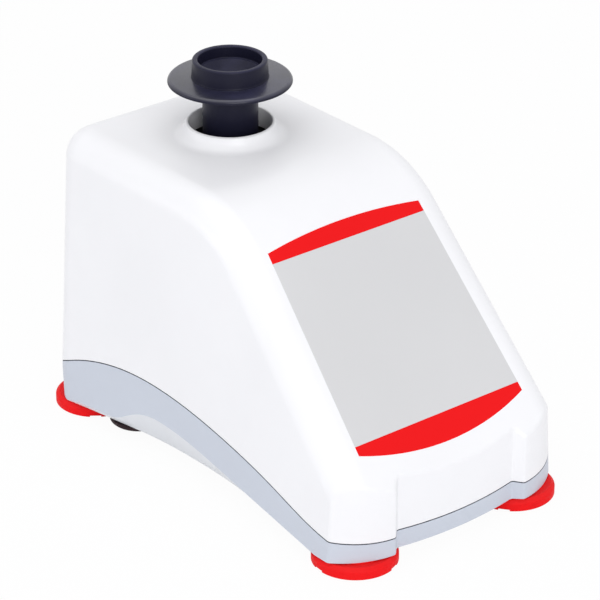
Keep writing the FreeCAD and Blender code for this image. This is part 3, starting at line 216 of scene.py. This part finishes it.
def moulded(name, colour, roughness, grain, depth, soil=0.05, coat=0.0, painted_gap_shade=None, painted_bounce_light=None):
    """Moulded plastic: fine spark-eroded grain, slow shade changes and faint marks.

    Its upward faces can take a painted shade that stands in for the shadow inside the parting gap, and faces that
    look outward and down can take a painted paler tone that stands in for light bounced up from the floor.
    """
    finish = Finish(name)
    cloud = finish.noise(14.0, 4.0)
    speck = finish.noise(520.0, 2.0)
    marks = finish.between(finish.noise(38.0, 6.0, 0.65, distortion=0.6), 0.56, 0.78)
    shade = finish.blend(finish.between(cloud, 0.3, 0.7), opaque(colour, 0.985), opaque(colour, 1.015))
    shade = finish.blend(marks * soil, shade, opaque((0.45, 0.44, 0.42)))
    if painted_gap_shade:
        # painted shade: upward faces, such as the rim seen through the parting gap, are darkened as if in the
        # housing's shadow
        shade = finish.blend(finish.between(finish.facing_up(), 0.5, 0.8), shade, opaque(painted_gap_shade))
    # painted light: faces that look outward and down are painted paler, standing in for light bounced up from the
    # floor onto the finger grips
    if painted_bounce_light:
        shade = finish.blend(finish.between(finish.facing_up(), -0.2, -0.42), shade, opaque(painted_bounce_light))
    fine = finish.noise(grain, 2.0, 0.6)
    gloss = roughness + (cloud - 0.5) * 0.08 + (speck - 0.5) * 0.05 - marks * 0.04
    return finish.close(shade, gloss, fine, depth, Coat_Weight=coat, Coat_Roughness=0.25)


def rubber(name, colour, dust_and_sheen, roughness, bloom_and_sheen=0.2, gloss=0.3, polished=None):
    """Moulded rubber: soft tooth, faint bloom with a painted sheen on upward faces, and darker scuffs.

    Upward faces are polished by handling outside a circle, given as its centre and radius.
    """
    finish = Finish(name)
    cloud = finish.noise(60.0, 5.0, 0.6)
    tooth = finish.noise(2600.0, 2.0)
    scuff = finish.between(finish.noise(170.0, 4.0, 0.7), 0.55, 0.75)
    upward = finish.between(finish.facing_up(), 0.1, 0.95)
    dust_and_sheen_share = upward * finish.between(cloud, 0.25, 0.8)
    shade = finish.blend(scuff * 0.35, opaque(colour), opaque(colour, 0.7))
    # dust and painted sheen: upward faces are painted lighter, partly real bloom and partly standing in for the
    # light and reflections that they catch
    shade = finish.blend(dust_and_sheen_share * bloom_and_sheen, shade, opaque(dust_and_sheen))
    polish = roughness + (cloud - 0.5) * 0.1 - scuff * 0.05
    sheen = 0.0
    if polished:
        centre, radius = polished
        fade = 0.0003
        local = finish.stretched((1, 1, 0), (-centre[0], -centre[1], 0))
        out = finish.wire("ShaderNodeVectorMath", {"operation": "LENGTH"}, {0: local}, "Value")
        sheen = upward * finish.between(out, radius - fade, radius + fade) * 0.62
    return finish.close(shade, polish, tooth * 0.6 + cloud * 0.8, 0.00005, Specular_IOR_Level=gloss,
                        Coat_Weight=sheen, Coat_IOR=1.75, Coat_Roughness=0.2)


def turned_metal(name, colour, roughness, streak=(60.0, 60.0, 2600.0), metallic=1.0):
    """Turned or drawn metal: fine tool marks, cloudy gloss and small scratches."""
    finish = Finish(name)
    lines = finish.noise(1.0, 3.0, 0.6, place=finish.stretched(streak))
    cloud = finish.noise(70.0, 4.0)
    crossing = finish.noise(1.0, 5.0, 0.7, place=finish.stretched((900.0, 120.0, 240.0)))
    scratch = finish.between(crossing, 0.6, 0.8)
    shade = finish.blend(lines, opaque(colour, 0.86), opaque(colour, 1.1))
    shade = finish.blend(scratch * 0.25, shade, opaque(colour, 0.6))
    gloss = roughness + (lines - 0.5) * 0.16 + (cloud - 0.5) * 0.12
    return finish.close(shade, gloss, lines + scratch * 0.4, 0.00003, Metallic=metallic)


def cast_metal(name, colour, roughness, metallic):
    """Sand- or die-cast metal with a pebbled skin."""
    finish = Finish(name)
    pebble = finish.cells(420.0)
    cloud = finish.noise(45.0, 5.0, 0.6)
    shade = finish.blend(cloud, opaque(colour, 0.75), opaque(colour, 1.2))
    shade = finish.blend(finish.between(pebble, 0.2, 0.7) * 0.3, shade, opaque(colour, 0.6))
    return finish.close(shade, roughness + (cloud - 0.5) * 0.2, pebble + cloud, 0.0001, Metallic=metallic)


def laminated(name, colour):
    """Stacked sheet steel with the edge of every sheet showing."""
    finish = Finish(name)
    sheets = finish.wire("ShaderNodeTexWave", {"wave_type": "BANDS", "bands_direction": "Z"},
                         {"Vector": finish.place, "Scale": 320.0, "Distortion": 0.3, "Detail": 1.0})
    cloud = finish.noise(90.0, 4.0)
    shade = finish.blend(sheets, opaque(colour, 0.55), opaque(colour, 1.1))
    shade = finish.blend(finish.between(cloud, 0.5, 0.8) * 0.3, shade, opaque((0.16, 0.10, 0.06)))
    return finish.close(shade, 0.42 + cloud * 0.2, sheets, 0.00012, Metallic=0.85)


def wound_wire(name, colour, centre):
    """Enamelled copper wire laid round an axis."""
    finish = Finish(name)
    local = finish.stretched(at=(-centre[0], -centre[1], 0.0))
    turns = finish.wire("ShaderNodeTexWave", {"wave_type": "RINGS", "rings_direction": "Z"}, {
        "Vector": local, "Scale": 420.0, "Distortion": 1.4, "Detail": 2.0, "Detail Scale": 3.0})
    cloud = finish.noise(120.0, 4.0)
    shade = finish.blend(turns, opaque(colour, 0.45), opaque(colour, 1.2))
    shade = finish.blend(finish.between(cloud, 0.55, 0.8) * 0.4, shade, opaque((0.20, 0.07, 0.03)))
    return finish.close(shade, 0.3 + cloud * 0.15, turns, 0.0003, Metallic=0.8)


def laminate_board(name, colour):
    """Circuit board: lacquer over copper tracks, with plated holes."""
    finish = Finish(name)
    tracks = finish.wire("ShaderNodeTexBrick", {"offset": 0.5, "squash": 1.0}, {
        "Vector": finish.place, "Color1": (0, 0, 0, 1), "Color2": (0.25, 0.25, 0.25, 1),
        "Mortar": (1, 1, 1, 1), "Scale": 120.0, "Mortar Size": 0.02, "Brick Width": 0.9,
        "Row Height": 0.3}, "Fac")
    holes = 1.0 - finish.between(finish.cells(260.0), 0.10, 0.16)
    shade = finish.blend(tracks, opaque(colour), opaque(colour, 1.9))
    shade = finish.blend(holes, shade, opaque((0.55, 0.52, 0.42)))
    return finish.close(shade, 0.35 + finish.noise(200.0) * 0.1, tracks + holes * 0.5, 0.00005)


def clear_tube(name):
    """Glass tube with metal caps at both ends."""
    finish = Finish(name)
    low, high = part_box("fuse")
    cap = 0.0054
    seam = 0.0002
    start = (high.x - low.x) / 2 - cap
    along = finish.wire("ShaderNodeMath", {"operation": "ABSOLUTE"}, {0: finish.axis("X")})
    caps = finish.between(along, start - seam, start + seam)
    smear = finish.noise(300.0, 4.0)
    shade = finish.blend(caps, (0.86, 0.89, 0.89, 1.0), (0.66, 0.66, 0.64, 1.0))
    return finish.close(shade, 0.08 + caps * 0.2 + smear * 0.06, smear, 0.00001, Metallic=caps,
                        Alpha=0.42 + caps * 0.58, IOR=1.5)


def film(name, colour, roughness, gloss):
    """Printed overlay film: a fine matte tooth with a slow change of shade."""
    finish = Finish(name)
    tooth = finish.noise(3000.0, 2.0)
    cloud = finish.noise(9.0, 3.0)
    print_dots = finish.noise(900.0, 1.0)
    wipe = finish.between(finish.noise(1.0, 5.0, 0.7, place=finish.stretched((220.0, 18.0, 18.0))), 0.55, 0.8)
    shade = finish.blend(finish.between(cloud, 0.25, 0.75), opaque(colour, 0.975), opaque(colour, 1.02))
    shade = finish.blend(print_dots * 0.05, shade, opaque(colour, 0.9))
    polish = roughness + (cloud - 0.5) * 0.06 + (tooth - 0.5) * 0.06 - wipe * 0.05
    return finish.close(shade, polish, tooth, 0.000012, Specular_IOR_Level=gloss)


def scene_piece(name, mesh, node):
    """Put a finished mesh in the scene in place of a CAD node."""
    piece = bpy.data.objects.new(name, mesh)
    bpy.context.scene.collection.objects.link(piece)
    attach(piece, BODY_OF[node])
    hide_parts(node)
    return piece


def paint(piece, material):
    """Give a piece one material."""
    piece.data.materials.clear()
    piece.data.materials.append(material)


def shade_smooth(shape, angle=SHARP_ANGLE):
    """Shade a shape smooth, with its hard edges kept."""
    for face in shape.faces:
        face.smooth = True
    for edge in shape.edges:
        edge.smooth = edge.calc_face_angle(0.0) < angle


def weighted(piece):
    """Let large faces decide the shading next to narrow ones."""
    shading = piece.modifiers.new("face_weights", "WEIGHTED_NORMAL")
    shading.keep_sharp = True
    shading.weight = 100


def from_solid(name, node, material, edge=0.0):
    """Take a CAD node's own shape, welded and smooth, with softened edges if asked."""
    mesh = NODES[node].data.copy()
    mesh.name = name
    shape = bmesh.new()
    shape.from_mesh(mesh)
    bmesh.ops.remove_doubles(shape, verts=shape.verts, dist=WELD)
    if edge:
        bmesh.ops.dissolve_limit(shape, angle_limit=math.radians(0.5), verts=shape.verts, edges=shape.edges)
    shade_smooth(shape)
    shape.to_mesh(mesh)
    shape.free()
    piece = scene_piece(name, mesh, node)
    paint(piece, material)
    if edge:
        rounding = piece.modifiers.new("soft_edges", "BEVEL")
        rounding.width = edge
        rounding.segments = 3
        rounding.limit_method = "ANGLE"
        rounding.angle_limit = SHARP_ANGLE
        rounding.use_clamp_overlap = True
        rounding.harden_normals = False
    weighted(piece)
    return piece


def turned_shape(shape, corners, centre, steps):
    """Spin a profile of (radius, height, rounding) corners about an upright axis."""
    points = [shape.verts.new((centre[0] + radius, centre[1], height)) for radius, height, _ in corners]
    for first, second in zip(points, points[1:]):
        shape.edges.new((first, second))
    for point, (_, _, rounding) in zip(points, corners):
        if rounding:
            bmesh.ops.bevel(shape, geom=[point], offset=rounding, offset_type="OFFSET", segments=6,
                            profile=0.5, affect="VERTICES", clamp_overlap=True, material=-1)
    bmesh.ops.spin(shape, geom=list(shape.verts) + list(shape.edges), cent=(centre[0], centre[1], 0),
                   axis=(0, 0, 1), angle=math.tau, steps=steps, use_merge=True)
    bmesh.ops.remove_doubles(shape, verts=shape.verts, dist=WELD)
    bmesh.ops.recalc_face_normals(shape, faces=shape.faces)


def turned_piece(name, node, corners, centre, material, steps):
    """A turned piece in place of a CAD node."""
    shape = bmesh.new()
    turned_shape(shape, corners, centre, steps)
    shade_smooth(shape, math.radians(40.0))
    mesh = bpy.data.meshes.new(name)
    shape.to_mesh(mesh)
    shape.free()
    piece = scene_piece(name, mesh, node)
    paint(piece, material)
    return piece


def axis_of(joint):
    """Where an upright joint axis stands, in plan."""
    return JOINTS[joint]["pos_m"][:2]


def colour_property(name, description, default):
    """A colour that the user can change."""
    return FloatVectorProperty(name=name, description=description, default=default, size=3, min=0.0, max=1.0,
                               subtype="COLOR")


def length_property(name, description, default):
    """A length that the user can change."""
    return FloatProperty(name=name, description=description, default=default, min=0.0, subtype="DISTANCE",
                         unit="LENGTH", precision=5)


class MixerColours(PropertyGroup):
    """Colours of the mixer's finishes."""

    housing: colour_property("Housing", "Upper housing moulding", (0.90, 0.90, 0.915))
    base: colour_property("Base", "Lower moulding", (0.585, 0.625, 0.70))
    # painted shade for the base's upward faces, standing in for the shadow inside the parting gap
    painted_gap_shade: colour_property("Ledge", "Dark line between housing and base", (0.10, 0.112, 0.145))
    # painted light on the grips' downward faces, standing in for bounce light from the floor
    painted_grip_light: colour_property("Grips", "Rubbed finger grips", (0.77, 0.79, 0.82))
    panel: colour_property("Label", "Overlay on the front slope", (0.66, 0.66, 0.665))
    band: colour_property("Bands", "Bands above and below the label", (0.85, 0.010, 0.012))
    feet: colour_property("Feet", "Rubber feet", (0.86, 0.010, 0.012))
    cup: colour_property("Cup", "Black rubber", (0.011, 0.011, 0.026))
    pads: colour_property("Pads", "Black pads under the base", (0.020, 0.007, 0.010))
    black: colour_property("Black plastic", "Inlet, fan and switch", (0.022, 0.022, 0.025))
    steel: colour_property("Steel", "Turned steel pieces", (0.56, 0.57, 0.59))
    spring: colour_property("Springs", "Return springs' wire", (0.42, 0.43, 0.45))
    bearing: colour_property("Bearing", "Ground bearing steel", (0.72, 0.73, 0.75))
    sheet: colour_property("Sheet", "Stacked sheet steel", (0.30, 0.31, 0.34))
    plating: colour_property("Plating", "Inlet's contact blades", (0.62, 0.60, 0.55))
    copper: colour_property("Copper", "Motor windings", (0.60, 0.23, 0.09))
    bronze: colour_property("Bronze", "Bushes", (0.62, 0.45, 0.20))
    aluminium: colour_property("Aluminium", "Die-cast pieces", (0.66, 0.67, 0.69))
    iron: colour_property("Iron", "Ballast and counterweight", (0.11, 0.11, 0.12))
    board: colour_property("Board", "Control board lacquer", (0.03, 0.17, 0.07))


class MixerSizes(PropertyGroup):
    """Small sizes that only the looks use."""

    film_edge: length_property("Film edge", "Rounding of the label's edge", 0.00012)
    inlet_edge: length_property("Inlet edge", "Rounding of the inlet's edges", 0.0005)
    blade_edge: length_property("Blade edge", "Rounding of the contact blades", 0.0004)
    fuse_edge: length_property("Fuse edge", "Rounding of the fuse's ends", 0.0002)
    small_edge: length_property("Small edge", "Rounding of the feet, pads, disc and drawer", 0.0003)
    turn_steps: IntProperty(name="Turning steps", description="Facets round a turned piece",
                            default=144, min=24, max=256)


class MixerCup(PropertyGroup):
    """Radii of the rubber cup, and depths below its rim."""

    socket: length_property("Socket", "Radius of the socket for the carrier's stem", 0.0070)
    neck: length_property("Neck", "Radius of the neck", 0.0119)
    bead: length_property("Bead", "Radius of the bead at the ring's foot", 0.01647)
    ring: length_property("Ring", "Radius of the ring above its bead", 0.01635)
    rim: length_property("Rim", "Outer radius of the rim", 0.0160)
    mouth: length_property("Mouth", "Radius of the mouth", 0.0136)
    shelf: length_property("Shelf", "Radius of the bowl at its top", 0.0128)
    bowl: length_property("Bowl", "Radius of the bowl's floor", 0.0079)
    polish: length_property("Polish", "Radius outside which the flange is polished", 0.0166)
    rim_round: length_property("Rim rounding", "Rounding of the rim", 0.0008)
    shelf_depth: length_property("Shelf depth", "Rim to the shelf in the mouth", 0.0053)
    ring_depth: length_property("Ring depth", "Rim to the top of the bead", 0.0074)
    bead_depth: length_property("Bead depth", "Rim to the widest part of the bead", 0.0077)
    foot_depth: length_property("Foot depth", "Rim to the foot of the ring", 0.0082)
    flange_depth: length_property("Flange depth", "Rim to the top of the flange", 0.0084)
    under_depth: length_property("Under depth", "Rim to the underside of the flange", 0.0103)
    bowl_depth: length_property("Bowl depth", "Rim to the edge of the bowl's floor", 0.0104)
    neck_depth: length_property("Neck depth", "Rim to the top of the neck", 0.0115)
    middle_depth: length_property("Middle depth", "Rim to the middle of the bowl's floor", 0.0120)
    socket_depth: length_property("Socket depth", "Rim to the top of the socket", 0.0165)


class MixerStage(PropertyGroup):
    """Camera and light."""

    azimuth: FloatProperty(name="Azimuth", description="Camera's direction round the mixer",
                           default=math.radians(-39.384), subtype="ANGLE", unit="ROTATION")
    elevation: FloatProperty(name="Elevation", description="Camera's height angle",
                             default=math.radians(26.629), subtype="ANGLE", unit="ROTATION")
    distance: length_property("Distance", "Camera to its target", 1.40531)
    target: FloatVectorProperty(name="Target", description="Point that the camera looks at",
                                default=(-0.00636, -0.00843, 0.07462), size=3, subtype="XYZ", unit="LENGTH")
    lens: FloatProperty(name="Lens", description="Focal length in millimetres", default=200.45, min=1.0)
    horizon: FloatProperty(name="Horizon", description="Strength of the light from all round",
                           default=0.80, min=0.0)
    zenith: FloatProperty(name="Zenith", description="Strength of the light from above",
                          default=0.56, min=0.0)
    tint: colour_property("Tint", "Colour of the surrounding light", (0.965, 0.97, 1.0))
    background: colour_property("Background", "What shows behind the mixer", (1.0, 1.0, 1.0))
    floor: colour_property("Floor", "Pale floor", (0.90, 0.90, 0.91))
    floor_glow: FloatProperty(name="Floor glow", description="How far the floor shows plain white",
                              default=0.955, min=0.0, max=1.0, subtype="FACTOR")


class MIXER_OT_housing(Operator):
    """Dress the upper housing"""

    bl_idname = "mixer.housing"
    bl_label = "Housing"

    def execute(self, context):
        colours = context.scene.mixer_colours
        white = moulded("housing_white", colours.housing, 0.36, 1500.0, 0.000012, soil=0.02, coat=0.15)
        from_solid("housing_shell", "upper_housing", white)
        return {"FINISHED"}


class MIXER_OT_base(Operator):
    """Dress the lower moulding"""

    bl_idname = "mixer.base"
    bl_label = "Base"

    def execute(self, context):
        colours = context.scene.mixer_colours
        # the base gets painted shade on its upward faces and a painted paler tone, standing in for floor bounce
        # light, on faces that look outward and down
        grey = moulded("base_grey", colours.base, 0.44, 1700.0, 0.00002, soil=0.04,
                       painted_gap_shade=colours.painted_gap_shade, painted_bounce_light=colours.painted_grip_light)
        from_solid("base_tray", "base_shell", grey)
        return {"FINISHED"}


class MIXER_OT_label(Operator):
    """Lay the bare label and its two bands on the slope"""

    bl_idname = "mixer.label"
    bl_label = "Label"

    def execute(self, context):
        colours = context.scene.mixer_colours
        sizes = context.scene.mixer_sizes
        grey = film("label_grey", colours.panel, 0.42, 0.4)
        red = film("band_red", colours.band, 0.45, 0.06)
        from_solid("label_film", "label_panel", grey, sizes.film_edge)
        from_solid("band_upper", "upper_trim", red, sizes.film_edge)
        from_solid("band_lower", "lower_trim", red, sizes.film_edge)
        return {"FINISHED"}


class MIXER_OT_feet(Operator):
    """Dress the four rubber feet"""

    bl_idname = "mixer.feet"
    bl_label = "Feet"

    def execute(self, context):
        colours = context.scene.mixer_colours
        edge = context.scene.mixer_sizes.small_edge
        red = rubber("foot_rubber", colours.feet, (0.80, 0.06, 0.06), 0.55, gloss=0.08)
        for corner in ("front_left", "front_right", "rear_left", "rear_right"):
            from_solid(f"rubber_foot_{corner}", f"foot_{corner}", red, edge)
        return {"FINISHED"}


class MIXER_OT_pads(Operator):
    """Dress the black pads under the base"""

    bl_idname = "mixer.pads"
    bl_label = "Pads"

    def execute(self, context):
        colours = context.scene.mixer_colours
        edge = context.scene.mixer_sizes.small_edge
        black = rubber("pad_rubber", colours.pads, (0.06, 0.045, 0.05), 0.6, gloss=0.2)
        from_solid("rubber_pads", "bumper_pads", black, edge)
        return {"FINISHED"}


class MIXER_OT_cup(Operator):
    """Turn the rubber cup with its rim, bowl, flange and neck"""

    bl_idname = "mixer.cup"
    bl_label = "Cup"

    def execute(self, context):
        colours = context.scene.mixer_colours
        cup = context.scene.mixer_cup
        centre = axis_of("cup_orbit")
        # the cup's upward faces take a bluish tone that is partly dust and partly painted sheen
        black = rubber("cup_rubber", colours.cup, (0.055, 0.055, 0.12), 0.38, bloom_and_sheen=0.5, gloss=0.16,
                       polished=(centre, cup.polish))
        low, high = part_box("rubber_cup")
        flange = (high.x - low.x) / 2
        top = high.z
        corners = [
            (0.0, top - cup.socket_depth, 0), (cup.socket, top - cup.socket_depth, 0),
            (cup.socket, low.z, 0), (cup.neck, low.z, 0.0002), (cup.neck, top - cup.neck_depth, 0.0016),
            (flange, top - cup.under_depth, 0.0003), (flange, top - cup.flange_depth, 0.0015),
            (cup.bead, top - cup.foot_depth, 0.0001), (cup.bead, top - cup.bead_depth, 0.0001),
            (cup.ring, top - cup.ring_depth, 0.0001), (cup.rim, top, cup.rim_round),
            (cup.mouth, top, cup.rim_round), (cup.mouth, top - cup.shelf_depth, 0.0004),
            (cup.shelf, top - cup.shelf_depth, 0.0004), (cup.bowl, top - cup.bowl_depth, 0.0040),
            (0.0, top - cup.middle_depth, 0),
        ]
        steps = context.scene.mixer_sizes.turn_steps
        turned_piece("cup", "rubber_cup", corners, centre, black, steps)
        return {"FINISHED"}


class MIXER_OT_splash_disc(Operator):
    """Dress the disc under the opening"""

    bl_idname = "mixer.splash_disc"
    bl_label = "Splash disc"

    def execute(self, context):
        colours = context.scene.mixer_colours
        edge = context.scene.mixer_sizes.small_edge
        black = moulded("disc_black", colours.black, 0.5, 1600.0, 0.00002, soil=0.1)
        from_solid("disc", "splash_disc", black, edge)
        return {"FINISHED"}


class MIXER_OT_inlet(Operator):
    """Dress the mains inlet, its blades, the fuse drawer and the fuse"""

    bl_idname = "mixer.inlet"
    bl_label = "Inlet"

    def execute(self, context):
        colours = context.scene.mixer_colours
        sizes = context.scene.mixer_sizes
        black = moulded("inlet_black", colours.black, 0.46, 1300.0, 0.00003, soil=0.12)
        plated = turned_metal("blade_plating", colours.plating, 0.28, (900.0, 60.0, 900.0))
        from_solid("inlet", "power_inlet", black, sizes.inlet_edge)
        from_solid("inlet_blades", "inlet_pins", plated, sizes.blade_edge)
        from_solid("drawer", "fuse_drawer", black, sizes.small_edge)
        from_solid("fuse_tube", "fuse", clear_tube("fuse_glass"), sizes.fuse_edge)
        return {"FINISHED"}


class MIXER_OT_drive(Operator):
    """Give the motor, its sprung carriage and the electrics their finishes"""

    bl_idname = "mixer.drive"
    bl_label = "Drive"

    def execute(self, context):
        colours = context.scene.mixer_colours
        finishes = {
            "plastic_black": moulded("drive_black", colours.black, 0.5, 1200.0, 0.00003, soil=0.1),
            "steel": turned_metal("turned_steel", colours.steel, 0.32),
            "spring_steel": turned_metal("spring_wire", colours.spring, 0.35, (800.0, 800.0, 800.0)),
            "bearing_steel": turned_metal("ground_steel", colours.bearing, 0.16, (200.0, 200.0, 3000.0)),
            "lamination_steel": laminated("sheet_stack", colours.sheet),
            "winding_copper": wound_wire("enamelled_wire", colours.copper, axis_of("shaft_spin")),
            "bronze": turned_metal("sintered_bronze", colours.bronze, 0.42, (500.0, 500.0, 500.0)),
            "aluminium": cast_metal("die_cast", colours.aluminium, 0.42, 0.9),
            "iron": cast_metal("cast_iron", colours.iron, 0.62, 0.4),
            "board_green": laminate_board("board_lacquer", colours.board),
        }
        dressed = ("splash_disc", "power_inlet", "fuse_drawer", "inlet_pins")
        for node, slot in SLOT_OF.items():
            if slot in finishes and node not in dressed:
                paint(NODES[node], finishes[slot])
        return {"FINISHED"}


class MIXER_OT_stage(Operator):
    """Set the floor, the soft lamps and the camera"""

    bl_idname = "mixer.stage"
    bl_label = "Stage"

    def execute(self, context):
        stage = context.scene.mixer_stage
        context.scene.view_settings.view_transform = "Standard"
        self.floor(stage)
        self.surround(stage)
        for name, at, size, power in LAMPS:
            self.lamp(name, at, size, power)
        self.camera(stage)
        return {"FINISHED"}

    def floor(self, stage):
        """A pale floor that shows white and keeps a faint shadow."""
        shape = bmesh.new()
        bmesh.ops.create_grid(shape, x_segments=2, y_segments=2, size=FLOOR_REACH)
        mesh = bpy.data.meshes.new("floor")
        shape.to_mesh(mesh)
        shape.free()
        floor = bpy.data.objects.new("floor", mesh)
        floor.location.z = -FLOOR_DROP
        bpy.context.scene.collection.objects.link(floor)
        finish = Finish("floor_paper")
        paper = finish.node("ShaderNodeBsdfDiffuse", inputs={"Color": opaque(stage.floor)})
        glow = finish.node("ShaderNodeEmission", inputs={"Color": opaque(stage.background)})
        finish.mixed(finish.shown() * stage.floor_glow, paper, glow, "ShaderNodeOutputMaterial")
        paint(floor, finish.material)

    def surround(self, stage):
        """White to look at; as a light, brightest round the horizon."""
        world = bpy.data.worlds.new("studio")
        bpy.context.scene.world = world
        sky = Shading(world)
        direction = sky.wire("ShaderNodeTexCoord", output="Generated")
        height = sky.wire("ShaderNodeSeparateXYZ", inputs={"Vector": direction}, output="Z")
        level = stage.horizon + sky.between(height, 0.0, 0.9) * (stage.zenith - stage.horizon)
        light = sky.node("ShaderNodeBackground", inputs={"Color": opaque(stage.tint), "Strength": level})
        white = sky.node("ShaderNodeBackground", inputs={"Color": opaque(stage.background)})
        sky.mixed(sky.shown(), light, white, "ShaderNodeOutputWorld")

    def lamp(self, name, at, size, power):
        """A square soft lamp aimed at the mixer."""
        light = bpy.data.lights.new(name, "AREA")
        light.shape = "SQUARE"
        light.size = size
        light.energy = power
        lamp = bpy.data.objects.new(name, light)
        bpy.context.scene.collection.objects.link(lamp)
        lamp.location = at
        aim = LAMP_AIM - Vector(at)
        lamp.rotation_euler = aim.to_track_quat("-Z", "Y").to_euler()

    def camera(self, stage):
        """The photograph's point of view."""
        lens = bpy.data.cameras.new("camera")
        lens.lens = stage.lens
        lens.sensor_width = 36.0
        lens.clip_start = 0.05
        camera = bpy.data.objects.new("camera", lens)
        bpy.context.scene.collection.objects.link(camera)
        flat = math.cos(stage.elevation)
        back = Vector((math.sin(stage.azimuth) * flat, -math.cos(stage.azimuth) * flat,
                       math.sin(stage.elevation)))
        camera.location = Vector(stage.target) + back * stage.distance
        camera.rotation_euler = (-back).to_track_quat("-Z", "Y").to_euler()
        bpy.context.scene.camera = camera


PIECES = (MIXER_OT_housing, MIXER_OT_base, MIXER_OT_label, MIXER_OT_feet, MIXER_OT_pads, MIXER_OT_cup,
          MIXER_OT_splash_disc, MIXER_OT_inlet, MIXER_OT_drive, MIXER_OT_stage)
GROUPS = {"mixer_colours": MixerColours, "mixer_sizes": MixerSizes, "mixer_cup": MixerCup,
          "mixer_stage": MixerStage}


class MIXER_PT_panel(Panel):
    """Pieces of the mixer and their settings"""

    bl_idname = "MIXER_PT_panel"
    bl_label = "Vortex Mixer"
    bl_space_type = "VIEW_3D"
    bl_region_type = "UI"
    bl_category = "Mixer"

    def draw(self, context):
        for piece in PIECES:
            self.layout.operator(piece.bl_idname)
        for group in GROUPS:
            box = self.layout.box()
            values = getattr(context.scene, group)
            for key in values.__annotations__:
                box.prop(values, key)


CLASSES = (*GROUPS.values(), *PIECES, MIXER_PT_panel)


def register():
    """Make the pieces, their settings and the panel known."""
    for cls in CLASSES:
        bpy.utils.register_class(cls)
    for name, group in GROUPS.items():
        setattr(bpy.types.Scene, name, PointerProperty(type=group))


def unregister():
    """Take them away again."""
    for name in GROUPS:
        delattr(bpy.types.Scene, name)
    for cls in reversed(CLASSES):
        bpy.utils.unregister_class(cls)


def main():
    """Build every piece."""
    register()
    for piece in PIECES:
        group, name = piece.bl_idname.split(".")
        getattr(getattr(bpy.ops, group), name)()


if __name__ == "__main__":
    main()
